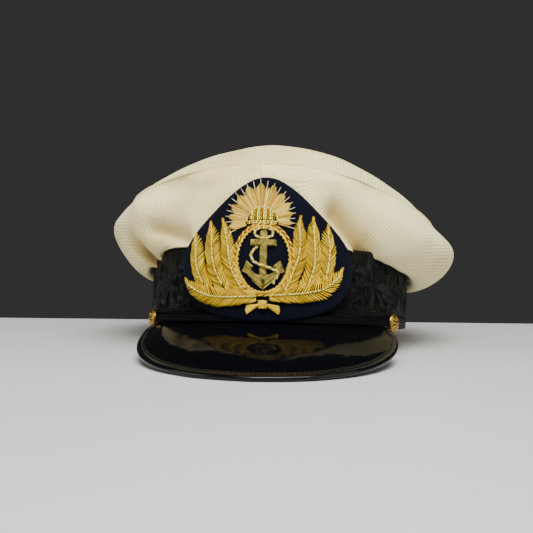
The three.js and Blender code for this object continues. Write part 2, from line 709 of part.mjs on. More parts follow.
// Anchor inside the oval
const ovalMiddle = OVAL_UP * BADGE_HEIGHT;
const anchorBar = (rows, side) => strip(bar(rows, OVAL_HALF_WIDTH, OVAL_HALF_HEIGHT, ovalMiddle, side));
addPiece('anchor', joined([
  anchorBar(ANCHOR_SHANK),
  anchorBar(ANCHOR_STOCK),
  anchorBar(ANCHOR_ARM, -1),
  anchorBar(ANCHOR_ARM),
]), COLOURS.oliveWire);

/** How far the rope is lifted over the anchor, for a share of 0 to 1. */
const ropeLift = (over) => GAP + (WIRE_THICKNESS + GAP) * over;
const ropeCurve = new THREE.CatmullRomCurve3(ROPE_TURNS.map(({ across, up, over }) => (
  new THREE.Vector3(across * OVAL_HALF_WIDTH, ovalMiddle + up * OVAL_HALF_HEIGHT, ropeLift(over))
)));
const ropeStations = ropeCurve.getSpacedPoints(20).map((p) => ({ across: p.x, up: p.y, lift: p.z }));
addPiece('anchor_rope', cord(ropeStations, ROPE_RADIUS), COLOURS.brightWire);

const ringSteps = 18;
const ringStations = Array.from({ length: ringSteps }, (_, i) => {
  const turn = (i / ringSteps) * 2 * Math.PI;
  const ringWidth = RING_HALF_WIDTH * OVAL_HALF_WIDTH;
  const across = ringWidth * Math.cos(turn);
  return {
    across,
    up: ovalMiddle + (RING_UP + RING_HALF_HEIGHT * Math.sin(turn)) * OVAL_HALF_HEIGHT,
    lift: ropeLift(1 - THREE.MathUtils.smoothstep(Math.abs(across), ringWidth / 2, ringWidth * 0.96)),
  };
});
addPiece('anchor_ring', cord(ringStations, ROPE_RADIUS * 0.9, true), COLOURS.brightWire);

// Ribbon that ties the sprays below the oval
const ribbonBar = (rows, side) => strip(bar(rows, BADGE_HALF_WIDTH, BADGE_HEIGHT, 0, side));
addPiece('ribbon_knot', joined([
  ribbonBar(RIBBON_TIE),
  ribbonBar(RIBBON_TAIL, -1),
  ribbonBar(RIBBON_TAIL),
]), COLOURS.goldWire);

// Rest
/** Lowest height of a piece with the worn cap tipped back by an angle. */
function lowest(name, tilt) {
  const turn = new THREE.Matrix4().makeRotationX(tilt);
  const box = new THREE.Box3();
  const positions = worn.getObjectByName(name).geometry.attributes.position;
  const p = new THREE.Vector3();
  for (let i = 0; i < positions.count; i += 1) {
    box.expandByPoint(p.fromBufferAttribute(positions, i).applyMatrix4(turn));
  }
  return box.min.z;
}

/** The tilt at which the peak's edge and the band's rim touch one plane. */
function restingTilt() {
  let [low, high] = [-Math.PI / 6, 0];
  for (let i = 0; i < 50; i += 1) {
    const tilt = (low + high) / 2;
    if (lowest('peak_binding', tilt) > lowest('band', tilt)) low = tilt;
    else high = tilt;
  }
  return low;
}

worn.rotation.x = restingTilt();
worn.updateMatrixWorld(true);
const footprint = new THREE.Box3().setFromObject(worn, true);
worn.position.set(
  -(footprint.min.x + footprint.max.x) / 2,
  -(footprint.min.y + footprint.max.y) / 2,
  -footprint.min.z,
);

const group = new THREE.Group();
group.name = 'peaked_cap';
group.add(worn);

export default group;
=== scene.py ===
"""The looks of a naval officer's peaked cap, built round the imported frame.

Lengths are millimetres unless a comment says otherwise, and become metres where a mesh is
made. "Worn" coordinates have the band's rim in the plane Z = 0 and the front towards -Y;
WORN takes them to the resting cap. Angles round the cap are 0 in front, in degrees.
"""

import json
import math

import bmesh
import bpy
import numpy as np
from mathutils import Matrix, Vector
from mathutils.bvhtree import BVHTree


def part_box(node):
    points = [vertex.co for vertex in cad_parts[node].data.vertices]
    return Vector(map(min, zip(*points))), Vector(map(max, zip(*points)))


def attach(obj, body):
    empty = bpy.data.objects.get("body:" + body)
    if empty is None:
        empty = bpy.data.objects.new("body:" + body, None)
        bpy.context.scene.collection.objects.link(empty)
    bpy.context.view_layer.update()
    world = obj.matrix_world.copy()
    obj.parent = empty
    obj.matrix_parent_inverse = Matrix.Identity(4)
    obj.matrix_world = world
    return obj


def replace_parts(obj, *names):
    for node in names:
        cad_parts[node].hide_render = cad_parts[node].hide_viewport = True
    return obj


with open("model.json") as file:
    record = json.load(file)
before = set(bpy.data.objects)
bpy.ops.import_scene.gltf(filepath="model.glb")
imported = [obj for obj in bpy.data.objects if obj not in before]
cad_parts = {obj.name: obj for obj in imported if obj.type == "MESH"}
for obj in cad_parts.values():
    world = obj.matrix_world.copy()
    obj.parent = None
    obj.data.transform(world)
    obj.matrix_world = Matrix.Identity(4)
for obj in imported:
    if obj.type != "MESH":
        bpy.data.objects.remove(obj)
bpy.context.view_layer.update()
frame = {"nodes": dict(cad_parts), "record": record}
NODES = frame["nodes"]
MM = 0.001
rng = np.random.default_rng(7)

# Camera in metres: fitted to the band and the peak's edge in the photograph
CAMERA_AZIMUTH = math.radians(5.5)
CAMERA_ROLL = math.radians(0.65)
CAMERA_DISTANCE = 0.600
CAMERA_HEIGHT = 0.078
CAMERA_LENS = 57.07
CAMERA_SENSOR = 36
CAMERA_SHIFT = (-0.0263, -0.0610)
CAMERA_NEAREST = 0.01

# Table and lights in metres and watts
TABLE_BEHIND = 0.158
TABLE_AHEAD = 2.0
TABLE_HALF_WIDTH = 3.0
TABLE_THICKNESS = 0.03
TABLE_GREYS = [(0.53, 0.53, 0.52), (0.58, 0.58, 0.57)]
WALL_COLOUR = (0.0350, 0.0358, 0.0348, 1)
ON_CAP = (0, 0, 0.06)
ON_TABLE = (0, -0.50, 0)
WARM, WHITE = (1.0, 0.985, 0.955), (1, 1, 1)
LIGHTS = [
    ("key", (0.30, -0.75, 1.25), ON_CAP, (1.0, 0.8), 31, WARM),
    ("left_fill", (-1.15, -0.65, 0.55), ON_CAP, (0.8, 0.8), 6.5, WHITE),
    ("right_fill", (1.2, -0.45, 0.6), ON_CAP, (0.8, 0.8), 4.8, WHITE),
    ("table_front", (0.0, -0.70, 0.85), ON_TABLE, (0.6, 0.4), 10, WHITE),
]

# Sizes shared with the frame
BAND_HALF_LENGTH = 102.0
BAND_HALF_WIDTH = 88.5
BAND_HEIGHT = 46.5
BADGE_HALF_WIDTH = 53.0
BADGE_HEIGHT = 86.0
CROWN_HALF_WIDTH = 121.0
WIRE_THICKNESS = 1.5
GAP = 0.3
PEAK_REACH = 53.3
PEAK_DROP = 30.5
PEAK_CORNER = math.radians(52)
PEAK_THICKNESS = 2.0
PEAK_TOP = 0.2
PEAK_ARCH = 0.1
STRAP_HEIGHT = 4.6
STRAP_THICKNESS = 1.8
STRAP_END = math.radians(65)

# Crown: how the cages are smoothed, the seam, the ribs and the cloth's waves
HEM_ANGLE = math.radians(45)
CROWN_LEVELS = 3
FIT_ROUNDS = 4
ARC_PER_DEGREE = 1.8
SEAM_FADE = 9.0
SEAM_SOFTENING = 4.6
SEAM_REACH = 11.0
WELT_RADIUS = 0.55
WELT_LIFT = 0.25
RIB_PITCH = 2.2
RIB_TURN_HEIGHT = 58.0
LOBE_START = 56.0
DEEPEST_FOLD = 12.0
BROAD_WAVES = {"height": 0.8, "size": 46, "seed": 3}
SMALL_WAVES = {"height": 0.3, "size": 19, "seed": 4}

# Soft folds of the crown, each a crease between two places given by angle and height as
# worn, then its width and its depth, inward where negative.
FOLDS = [
    ((24, 69), (39, 46), 6.5, -8.5),
    ((25, 88), (56, 54), 10.0, 2.6),
    ((38, 52), (47, 42), 5.5, -2.4),
    ((-47, 61), (-31, 53), 4.5, -4.6),
    ((-50, 76), (-30, 66), 8.0, 1.4),
    ((-60, 53), (-55, 40), 6.5, -13.0),
    ((-22, 82), (-8, 96), 6.0, -1.1),
    ((10, 90), (24, 98), 6.0, 0.9),
    ((-6, 96), (-2, 90), 5.0, -0.9),
    ((-58, 88), (-50, 68), 7.0, 1.2),
    ((72, 70), (100, 48), 10.0, -1.2),
    ((-100, 78), (-84, 52), 11.0, -1.1),
    ((130, 60), (150, 42), 9.0, -1.6),
    ((-150, 62), (-128, 44), 10.0, -1.5),
    ((172, 66), (184, 40), 9.0, -1.4),
]

# Where the cloth hangs low above the temples: angle, width in degrees and hang
HANGS = [(50, 14, 4.0), (84, 13, -2.2), (-60, 13, 3.5)]
HANG_TOP = 78.0
HANG_DEPTH = 30.0

# Badge patch: its outline as half widths at heights, both as shares of its own
PATCH_HEIGHTS = [0.0, 0.03, 0.17, 0.42, 0.625, 0.765, 0.905, 1.0]
PATCH_HALVES = [0.2, 0.42, 0.9, 1.0, 0.82, 0.6, 0.35, 0.0]
PATCH_LEAN = 3.0
PATCH_TIP = {"rise": 1.9, "from": 64.0, "over": 20.0}
PATCH_DEFAULT_RISE = 3.5
PROBE_REACH = 15.0

# Goldwork
WINDING_PITCH = 0.42
WIRE_RADIUS = 0.40
WIRE_STEP = 1.56
WIRE_JITTER = 0.05
SHORTEST_WIRE = 0.6
LEAF_LEAD = 5.2
LEAF_POINTS = 121
EARLY_WIRES = 4
ROOT_LENGTH = 4.5
VEIN_END = 0.90
WISP_LEANS = (-0.5, 0.15, 0.7)
WISP_BACK, WISP_AHEAD = 2.2, 2.0
UPRIGHT = [0.90, 1.0, 1.0, 0.93, 0.70, 0.10]
LYING = [0.50, 0.82, 1.0, 1.0, 0.72, 0.10]
LYING_LIFT = 0.7
LEAF_ALONG = [0.0, 0.2, 0.45, 0.68, 0.86, 1.0]

# Leaves by name: the two half widths as shares of the badge's half width, the widths along
# the vein, and the vein as shares of the badge's half width and height.
LEAVES = [
    ("leaf_left_1", (0.092, 0.104), UPRIGHT,
     [(-0.62, 0.225), (-0.656, 0.267), (-0.722, 0.346), (-0.755, 0.436),
      (-0.759, 0.506), (-0.764, 0.574), (-0.786, 0.618)]),
    ("leaf_left_2", (0.099, 0.096), UPRIGHT,
     [(-0.385, 0.213), (-0.425, 0.253), (-0.509, 0.355), (-0.547, 0.448),
      (-0.557, 0.52), (-0.563, 0.61), (-0.590, 0.690)]),
    ("leaf_left_3", (0.090, 0.072), UPRIGHT,
     [(-0.150, 0.178), (-0.231, 0.247), (-0.325, 0.363), (-0.363, 0.468),
      (-0.377, 0.538), (-0.408, 0.640), (-0.446, 0.706)]),
    ("leaf_left_4", (0.112, 0.106), LYING,
     [(-0.061, 0.180), (-0.203, 0.177), (-0.354, 0.174), (-0.50, 0.177),
      (-0.604, 0.189), (-0.731, 0.218), (-0.840, 0.256), (-0.905, 0.298)]),
    ("leaf_right_1", (0.092, 0.084), UPRIGHT,
     [(0.605, 0.258), (0.646, 0.311), (0.665, 0.375), (0.679, 0.456),
      (0.682, 0.535), (0.666, 0.608), (0.674, 0.680)]),
    ("leaf_right_2", (0.088, 0.078), UPRIGHT,
     [(0.425, 0.235), (0.472, 0.288), (0.505, 0.355), (0.524, 0.430),
      (0.519, 0.547), (0.505, 0.660), (0.509, 0.724)]),
    ("leaf_right_3", (0.078, 0.092), UPRIGHT,
     [(0.160, 0.178), (0.217, 0.215), (0.264, 0.282), (0.316, 0.378),
      (0.354, 0.456), (0.368, 0.552), (0.358, 0.654), (0.372, 0.728)]),
    ("leaf_right_4", (0.112, 0.112), LYING,
     [(0.066, 0.186), (0.208, 0.195), (0.354, 0.203), (0.500, 0.218),
      (0.613, 0.238), (0.712, 0.282), (0.797, 0.334), (0.838, 0.383)]),
]

# Sun: its middle on the patch, its outer ellipse and its petals, angles in degrees
SUN_ACROSS = -1.2
SUN_UP = 0.70 * BADGE_HEIGHT
SUN_LOPSIDED = 1.2
SUN_HALF_WIDTH = 18.4
SUN_HEIGHT = 23.4
SUN_DOME_RADIUS = 8.2
SUN_RISE = 2.2
SUN_PETALS = 11
SUN_MIDDLE = 93.8
SUN_SPREAD = 194.5
SUN_NOTCH = 0.19
SUN_STRANDS = 11
DOME_COLUMNS = 13
DOME_SHADES = (0.05, 0.95, 0.5)

# Oval, and the anchor, rope and ring as shares of its half width and height from its
# middle. The fluke is the right half; the rope's third column is its lift.
OVAL_UP = 0.435 * BADGE_HEIGHT
OVAL_HALF_WIDTH = 15.2
OVAL_HALF_HEIGHT = 20.5
OVAL_LOOPS = 44
ANCHOR_FLUKE = [(0, -0.86), (0.33, -0.66), (0.60, -0.40), (0.76, -0.36), (0.60, -0.05),
                (0.34, -0.21), (0.44, -0.27), (0.33, -0.40), (0.13, -0.46), (0, -0.46)]
ANCHOR_SHANK = [(-0.125, -0.60), (0.125, -0.60), (0.125, 0.78), (0.07, 0.84),
                (-0.07, 0.84), (-0.125, 0.78)]
ANCHOR_STOCK = [(-0.45, 0.39), (-0.1, 0.38), (0.1, 0.38), (0.45, 0.39),
                (0.45, 0.555), (0.1, 0.58), (-0.1, 0.58), (-0.45, 0.555)]
ANCHOR_STEP = 0.62
ANCHOR_WIRE = 0.33
ROPE_TURNS = [(-0.23, 0.36, 0.9), (-0.43, 0.15, 0.9), (-0.37, -0.04, 0.9), (-0.18, -0.14, 2.0),
              (0, -0.19, 2.7), (0.22, -0.25, 2.1), (0.46, -0.34, 2.4), (0.53, -0.46, 2.2),
              (0.40, -0.60, 0.9), (0.37, -0.70, 0.8)]
RING_UP = 0.76
RING_SIZE = (0.33, 0.155)

# Ribbon knot, as shares of the badge's half width and height
KNOT_TIE = [(-0.045, 0.098), (0.045, 0.098), (0.04, 0.128),
            (0.05, 0.158), (-0.05, 0.158), (-0.04, 0.128)]
KNOT_TAIL_WIRES = 6

# Braid: the motifs' place along the repeat, height, size, turn and number of lobes
BRAID_COLUMNS, BRAID_ROWS = 1300, 74
BRAID_REPEATS = 16
BRAID_PERIOD = 38.0
BRAID_RIB = 1.1
BRAID_MOTIFS = [
    (0.0, 24.0, 12.5, 0.6, 5),
    (19.0, 33.0, 9.0, 2.4, 4),
    (19.0, 14.5, 8.0, -0.5, 4),
    (9.5, 40.0, 5.0, 0.0, 3),
    (28.5, 24.0, 5.0, 1.2, 3),
]
BRAID_PLAIN_TO = 8.5
BEAD_HEIGHT, BEAD_PITCH = 7.0, 2.3
EDGE_ROWS = (3.8, 45.3)
BAND_WALL = 2.5

# Peak: its reach and drop as shares at shares of the corner angle; the binding's face as
# shares of its width and lifts; the strap's edge as insets from its face and rises.
PEAK_ALONG = [0, 0.23, 0.35, 0.5, 0.7, 0.9, 1]
PEAK_REACHES = [1, 0.95, 0.885, 0.785, 0.60, 0.375, 0.22]
PEAK_DROPS = [1, 0.97, 0.92, 0.84, 0.67, 0.43, 0.22]
PEAK_UNDER_BINDING = 1.2
BINDING_RADIUS = 1.8
BINDING_RISE = 0.95
BINDING_END = 1.02
BINDING_WIDTH = 6.0
BINDING_FACE = [(1.0, 0.12), (0.94, 0.42), (0.8, 0.42), (0.72, 0.2), (0.64, 0.46), (0.45, 0.62)]
STITCH_STEP = 2.9
STITCH_RADIUS = 0.2
STITCH_PLACE = 0.72
STRAP_EDGE = [(STRAP_THICKNESS, 0.3), (0.7, 0.0), (0.2, 0.25), (0.0, 0.7), (0.3, 1.05), (0.12, 1.5)]

# Buttons: the rim, and the reliefs of the face as height, place and width along the radius
BUTTON_RADIUS = 5.9
BUTTON_HEIGHT = 3.4
BUTTON_SINK = 1.8
BUTTON_RIM = 0.9
BUTTON_ROPE = {"height": 0.34, "place": 0.9, "width": 0.07, "turns": 22, "slant": 14}
BUTTON_PETALS = {"height": 0.42, "place": 0.5, "width": 0.18, "turns": 8, "slant": 0}
BUTTON_RIDGES = [(0.2, 0.76, 0.03), (0.2, 0.0, 0.12)]
BUTTON_RINGS, BUTTON_AROUND = 22, 64


# Places and paths
def worn_matrix():
    """Worn millimetres to resting metres, from the rim's normal and the band's box."""
    axis = frame["record"]["mounts"][0]["axis"]
    tilt = math.atan2(axis[1], -axis[2])
    low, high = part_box("band")
    middle = (low + high) / 2
    to_metres = Matrix.Scale(MM, 4)
    from_rim = Matrix.Translation((0, 0, -BAND_HEIGHT / 2))
    return Matrix.Translation(middle) @ Matrix.Rotation(tilt, 4, "X") @ to_metres @ from_rim


WORN = np.array(worn_matrix())
WORN_BACK = np.linalg.inv(WORN)


def to_rest(points):
    points = np.asarray(points, float)
    return points @ WORN[:3, :3].T + WORN[:3, 3]


def to_worn(points):
    points = np.asarray(points, float)
    return points @ WORN_BACK[:3, :3].T + WORN_BACK[:3, 3]


def front_angle(worn):
    return np.degrees(np.arctan2(worn[:, 0], -worn[:, 1]))


def unit(vectors):
    return vectors / (np.linalg.norm(vectors, axis=-1, keepdims=True) + 1e-12)


def distance_along(path):
    """The way along a path from its start to each of its points."""
    return np.concatenate([[0], np.cumsum(np.linalg.norm(np.diff(path, axis=0), axis=1))])


def read_rows(rows, at, places):
    """Rows of a table read between those it has, column by column."""
    return np.stack([np.interp(places, at, column) for column in np.asarray(rows).T], -1)


def bell(values, middle, width):
    return np.exp(-(((values - middle) / width) ** 2))


def smooth_rise(share):
    share = np.clip(share, 0, 1)
    return share * share * (3 - 2 * share)


def across_frame(path):
    """Two unit directions square to each step of a path."""
    along = unit(np.gradient(path, axis=0))
    side = unit(np.cross(along, [0.13, -0.91, 0.37]))
    return side, np.cross(side, along)


def loop_faces(count, around, start=0, closed=False):
    """Quads that join loops of points in turn, capped at both ends unless closed."""
    index = np.arange(start, start + count * around).reshape(count, around)
    near, far = (index, np.roll(index, -1, 0)) if closed else (index[:-1], index[1:])
    quads = np.stack([near, np.roll(near, -1, 1), np.roll(far, -1, 1), far], -1)
    caps = [] if closed else [index[0][::-1].tolist(), index[-1].tolist()]
    return quads.reshape(-1, 4).tolist() + caps


# Camera and light
def add_camera():
    camera = bpy.data.objects.new("camera", bpy.data.cameras.new("camera"))
    bpy.context.collection.objects.link(camera)
    middle = to_rest([0, 0, 0])
    back = Vector((math.sin(CAMERA_AZIMUTH), -math.cos(CAMERA_AZIMUTH), 0)) * CAMERA_DISTANCE
    camera.matrix_world = (
        Matrix.Translation((middle[0] + back.x, middle[1] + back.y, CAMERA_HEIGHT))
        @ Matrix.Rotation(CAMERA_AZIMUTH, 4, "Z")
        @ Matrix.Rotation(math.pi / 2, 4, "X")
        @ Matrix.Rotation(CAMERA_ROLL, 4, "Z")
    )
    camera.data.lens = CAMERA_LENS
    camera.data.sensor_width = CAMERA_SENSOR
    camera.data.shift_x, camera.data.shift_y = CAMERA_SHIFT
    camera.data.clip_start = CAMERA_NEAREST
    bpy.context.scene.camera = camera


def add_light(name, place, target, size, power, colour):
    data = bpy.data.lights.new(name, "AREA")
    data.shape = "RECTANGLE"
    data.size, data.size_y = size
    data.energy = power
    data.color = colour
    light = bpy.data.objects.new(name, data)
    bpy.context.collection.objects.link(light)
    light.location = place
    light.rotation_mode = "QUATERNION"
    light.rotation_quaternion = (Vector(target) - Vector(place)).to_track_quat("-Z", "Y")


# Materials
class Shader:
    """A material's nodes, added by short calls."""

    def __init__(self, name, **values):
        self.material = bpy.data.materials.new(name)
        self.material.use_nodes = True
        self.tree = self.material.node_tree
        self.surface = self.tree.nodes["Principled BSDF"]
        for socket, value in values.items():
            self.surface.inputs[socket.replace("_", " ")].default_value = value
        self.place = self.add("ShaderNodeTexCoord").outputs["Object"]

    def add(self, kind, **values):
        node = self.tree.nodes.new(kind)
        for name, value in values.items():
            if hasattr(node, name):
                setattr(node, name, value)
            else:
                node.inputs[name.replace("_", " ")].default_value = value
        return node

    def link(self, source, target):
        self.tree.links.new(source, target)

    def maths(self, operation, a, b=None):
        node = self.add("ShaderNodeMath", operation=operation)
        for i, value in enumerate((a, b)):
            if isinstance(value, (int, float)):
                node.inputs[i].default_value = value
            elif value is not None:
                self.link(value, node.inputs[i])
        return node.outputs[0]

    def times(self, a, b):
        return self.maths("MULTIPLY", a, b)

    def plus(self, a, b):
        return self.maths("ADD", a, b)

    def blend(self, a, share_a, b, share_b):
        return self.plus(self.times(a, share_a), self.times(b, share_b))

    def wave(self, value, pitch):
        return self.maths("SINE", self.times(value, 2 * math.pi / pitch))

    def noise(self, scale, detail=3.0, roughness=0.5):
        node = self.add("ShaderNodeTexNoise", Scale=scale, Detail=detail, Roughness=roughness)
        self.link(self.place, node.inputs["Vector"])
        return node.outputs["Fac"]

    def attribute(self, name):
        return self.add("ShaderNodeAttribute", attribute_name=name).outputs["Fac"]

    def ramp(self, factor, stops):
        node = self.add("ShaderNodeValToRGB")
        elements = node.color_ramp.elements
        while len(elements) < len(stops):
            elements.new(0.5)
        for element, (position, colour) in zip(elements, stops):
            element.position = position
            element.color = (*colour, 1)
        self.link(factor, node.inputs["Fac"])
        return node.outputs["Color"]

    def multiply(self, a, b, share):
        """One colour darkened by another, by a share."""
        node = self.add("ShaderNodeMix", data_type="RGBA", blend_type="MULTIPLY")
        node.inputs["Factor"].default_value = share
        self.link(a, node.inputs["A"])
        self.link(b, node.inputs["B"])
        return node.outputs["Result"]

    def colour(self, output):
        self.link(output, self.surface.inputs["Base Color"])

    def roughness(self, factor, low, high):
        node = self.add("ShaderNodeMapRange")
        node.inputs["To Min"].default_value = low
        node.inputs["To Max"].default_value = high
        self.link(factor, node.inputs["Value"])
        self.link(node.outputs["Result"], self.surface.inputs["Roughness"])

    def bump(self, height, distance, strength):
        """Relief; the distance is in metres."""
        node = self.add("ShaderNodeBump", Strength=strength, Distance=distance)
        self.link(height, node.inputs["Height"])
        self.link(node.outputs["Normal"], self.surface.inputs["Normal"])


def cloth_material(name, grain):
    """Ribbed off-white twill, its ribs across the grain in front and level on the lobes, darkened in
    its rib grooves by painted shade and in its folds by dust and painted shade.
    """
    s = Shader(name, Roughness=0.85, Sheen_Weight=0.2, Sheen_Roughness=0.5,
               Specular_IOR_Level=0.2)
    split = s.add("ShaderNodeSeparateXYZ")
    s.link(s.place, split.inputs[0])
    run = s.attribute(grain) if grain else s.times(split.outputs["X"], 1 / MM)
    level = s.times(split.outputs["Z"], 1 / MM)
    wobble = s.times(s.noise(60.0, 2.0), 1.5)
    upright, lying = (s.wave(s.plus(places, wobble), RIB_PITCH) for places in (run, level))
    share = s.plus(s.times(s.attribute("lobe"), 0.75), 0.12)
    rib = s.blend(upright, s.maths("SUBTRACT", 1.0, share), lying, share)
    weave = s.blend(rib, 0.55, s.noise(1900.0, 2.0, 0.7), 0.8)
    stained = s.blend(s.noise(9.0, 4.0, 0.55), 0.6, s.noise(23.0, 5.0, 0.6), 0.4)
    tone = s.ramp(stained, [(0.34, (0.70, 0.55, 0.24)), (0.47, (0.86, 0.75, 0.375)),
                            (0.66, (0.92, 0.835, 0.46))])
    # Painted shade: the colour darkens in the grooves between the ribs, following the same relief as
    # the bump
    painted_groove_shade = s.ramp(weave, [(0.0, (0.74, 0.71, 0.64)), (0.55, (1, 1, 1))])
    # Dust and painted shade: the deeper a fold sinks, the more the cloth goes tan and then near
    # black, standing in for the shadow in the fold
    dust_and_painted_shade = s.ramp(s.attribute("hollow"), [(0.0, (1, 1, 1)), (0.55, (0.72, 0.62, 0.45)),
                                          (1.0, (0.25, 0.20, 0.13))])
    s.colour(s.multiply(s.multiply(tone, painted_groove_shade, 0.5), dust_and_painted_shade, 1.0))
    s.bump(weave, 0.00028, 0.75)
    return s.material


def braid_material():
    """Black mohair braid: glossy fine ribs along the stored contour."""
    s = Shader("black_mohair_braid", Roughness=0.40, Specular_IOR_Level=0.12)
    rib = s.wave(s.attribute("contour"), BRAID_RIB)
    height = s.plus(rib, s.times(s.noise(1500.0, 3.0, 0.7), 0.35))
    # Painted sheen and shade: the black is lighter on the rib crests and darkest between them,
    # following the bump's height
    s.colour(s.ramp(height, [(0.0, (0.0012, 0.0013, 0.0014)), (0.6, (0.0033, 0.0036, 0.0038)),
                             (1.0, (0.014, 0.0148, 0.015))]))
    s.bump(height, 0.0008, 1.0)
    return s.material


def patent_material(name, ripple, rough, shine):
    """Black patent leather: a mirror face with faint ripples, in metres, and scuffs."""
    s = Shader(name, Base_Color=(0.0016, 0.0018, 0.0024, 1), Specular_IOR_Level=shine, IOR=1.5)
    s.roughness(s.noise(260.0, 4.0, 0.7), rough, 2.2 * rough + 0.03)
    s.bump(s.noise(70.0, 2.0), ripple, 0.4)
    return s.material


def broadcloth_material():
    """Felted navy broadcloth with a soft nap."""
    s = Shader("navy_broadcloth", Roughness=0.95, Sheen_Weight=0.03, Sheen_Roughness=0.5,
               Specular_IOR_Level=0.10, Sheen_Tint=(0.35, 0.42, 0.65, 1))
    nap = s.noise(1300.0, 4.0, 0.75)
    patchy = s.blend(nap, 0.55, s.noise(45.0, 4.0), 0.45)
    s.colour(s.ramp(patchy, [(0.3, (0.0008, 0.0012, 0.0036)), (0.55, (0.0018, 0.0026, 0.0075)),
                             (0.75, (0.005, 0.007, 0.015))]))
    s.bump(nap, 0.00035, 0.8)
    return s.material


def wire_material(name, dark, mid, light, roughness, metallic, spread=0.3):
    """Gold wire: each strand has its own stored shade, wound with a fine ripple."""
    s = Shader(name, Metallic=metallic, Specular_IOR_Level=0.5)
    tarnish = s.noise(420.0, 4.0, 0.6)
    own = s.times(s.maths("SUBTRACT", s.attribute("shade"), 0.5), spread)
    tone = s.plus(own, s.plus(s.times(tarnish, 0.5), 0.25))
    s.colour(s.ramp(tone, [(0.25, dark), (0.5, mid), (0.75, light)]))
    s.roughness(tarnish, roughness - 0.08, roughness + 0.14)
    winding = s.wave(s.attribute("wind"), WINDING_PITCH)
    s.bump(s.plus(winding, s.times(s.noise(2600.0, 2.0, 0.6), 1.5)), 0.00010, 0.8)
    return s.material


def gilt_material():
    """Gilt darkened in the hollows of its relief as painted shade."""
    s = Shader("gilt", Metallic=1.0)
    wear = s.noise(420.0, 4.0, 0.6)
    # Painted shade: the gilt goes dark brown in the hollows of the relief and is lightest on its
    # ridges
    level = s.plus(s.attribute("relief"), s.times(s.maths("SUBTRACT", wear, 0.5), 0.5))
    s.colour(s.ramp(level, [(0.3, (0.04, 0.022, 0.005)), (0.55, (0.34, 0.19, 0.035)),
                            (0.85, (0.80, 0.54, 0.14))]))
    s.roughness(wear, 0.22, 0.45)
    s.bump(wear, 0.00006, 0.5)
    return s.material


def thread_material(name, colour):
    s = Shader(name, Roughness=0.55)
    tone = s.noise(900.0, 2.0)
    dark = tuple(0.6 * c for c in colour)
    s.colour(s.ramp(tone, [(0.3, dark), (0.7, colour)]))
    s.bump(tone, 0.00008, 0.6)
    return s.material


def table_material():
    s = Shader("pale_table", Roughness=0.5, Specular_IOR_Level=0.3)
    s.colour(s.ramp(s.noise(3.0, 3.0), list(zip((0.3, 0.7), TABLE_GREYS))))
    s.bump(s.noise(700.0, 3.0), 0.0001, 0.15)
    return s.material


# Wires by key: dark, middle and light colour, roughness, metal share and spread of shades
WIRES = {
    "gold": ((0.42, 0.205, 0.005), (0.90, 0.59, 0.018), (1.0, 0.84, 0.075), 0.42, 0.88),
    "bright": ((0.50, 0.33, 0.02), (0.96, 0.80, 0.13), (1.0, 0.95, 0.42), 0.26, 0.75, 0.8),
    "dome": ((0.40, 0.23, 0.004), (0.98, 0.76, 0.04), (1.0, 0.96, 0.26), 0.22, 0.85, 0.9),
    "pale": ((0.44, 0.24, 0.02), (0.86, 0.57, 0.075), (1.0, 0.80, 0.19), 0.40, 0.65, 0.6),
    "silver": ((0.46, 0.40, 0.22), (0.80, 0.73, 0.48), (0.97, 0.92, 0.72), 0.32, 0.45),
    "orange": ((0.26, 0.10, 0.002), (0.70, 0.40, 0.012), (1.0, 0.72, 0.06), 0.34, 0.8, 0.8),
    "olive": ((0.15, 0.105, 0.012), (0.38, 0.30, 0.055), (0.66, 0.56, 0.16), 0.38, 0.75, 0.4),
}
MATERIALS = {
    "side_cloth": cloth_material("white_twill_side", "grain"),
    "top_cloth": cloth_material("white_twill_top", None),
    "braid": braid_material(),
    "patent": patent_material("black_patent", ripple=0.00054, rough=0.035, shine=0.08),
    "binding": patent_material("black_binding", ripple=0.00108, rough=0.10, shine=0.24),
    "strap": patent_material("black_strap", ripple=0.00144, rough=0.34, shine=0.05),
    "navy": broadcloth_material(),
    **{key: wire_material(key + "_wire", *row) for key, row in WIRES.items()},
    "gilt": gilt_material(),
    "black_thread": thread_material("black_thread", (0.02, 0.02, 0.022)),
}


# Meshes
def piece(name, vertices, faces, material, slot, **attributes):
    """A new mesh piece in resting metres that rides on the cap."""
    mesh = bpy.data.meshes.new(name)
    mesh.from_pydata(np.asarray(vertices).tolist(), [], faces)
    mesh.validate()
    for key, values in attributes.items():
        layer = mesh.attributes.new(key, "FLOAT", "POINT")
        layer.data.foreach_set("value", np.asarray(values, np.float32))
    mesh.polygons.foreach_set("use_smooth", [True] * len(mesh.polygons))
    mesh.materials.append(MATERIALS[material])
    obj = bpy.data.objects.new(name, mesh)
    bpy.context.collection.objects.link(obj)
    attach(obj, "root")
    return obj


def loops_piece(name, loops, material, slot, **attributes):
    """A closed body from an array of worn loops, with its end loops capped."""
    faces = loop_faces(*loops.shape[:2])
    return piece(name, to_rest(loops.reshape(-1, 3)), faces, material, slot, **attributes)


def mesh_points(mesh):
    points = np.empty(len(mesh.vertices) * 3)
    mesh.vertices.foreach_get("co", points)
    return points.reshape(-1, 3)


def edge_rings(edges, fewest=20):
    """Closed runs of vertices along the edges given, the short ones left out."""
    links = {}
    for edge in edges:
        a, b = edge.verts
        links.setdefault(a, []).append(b)
        links.setdefault(b, []).append(a)
    rings, seen = [], set()
    for start in links:
        ring, at = [], start
        while at is not None and at not in seen:
            seen.add(at)
            ring.append(at)
            at = next((v for v in links[at] if v not in seen), None)
        if len(ring) > fewest:
            rings.append(ring)
    return rings


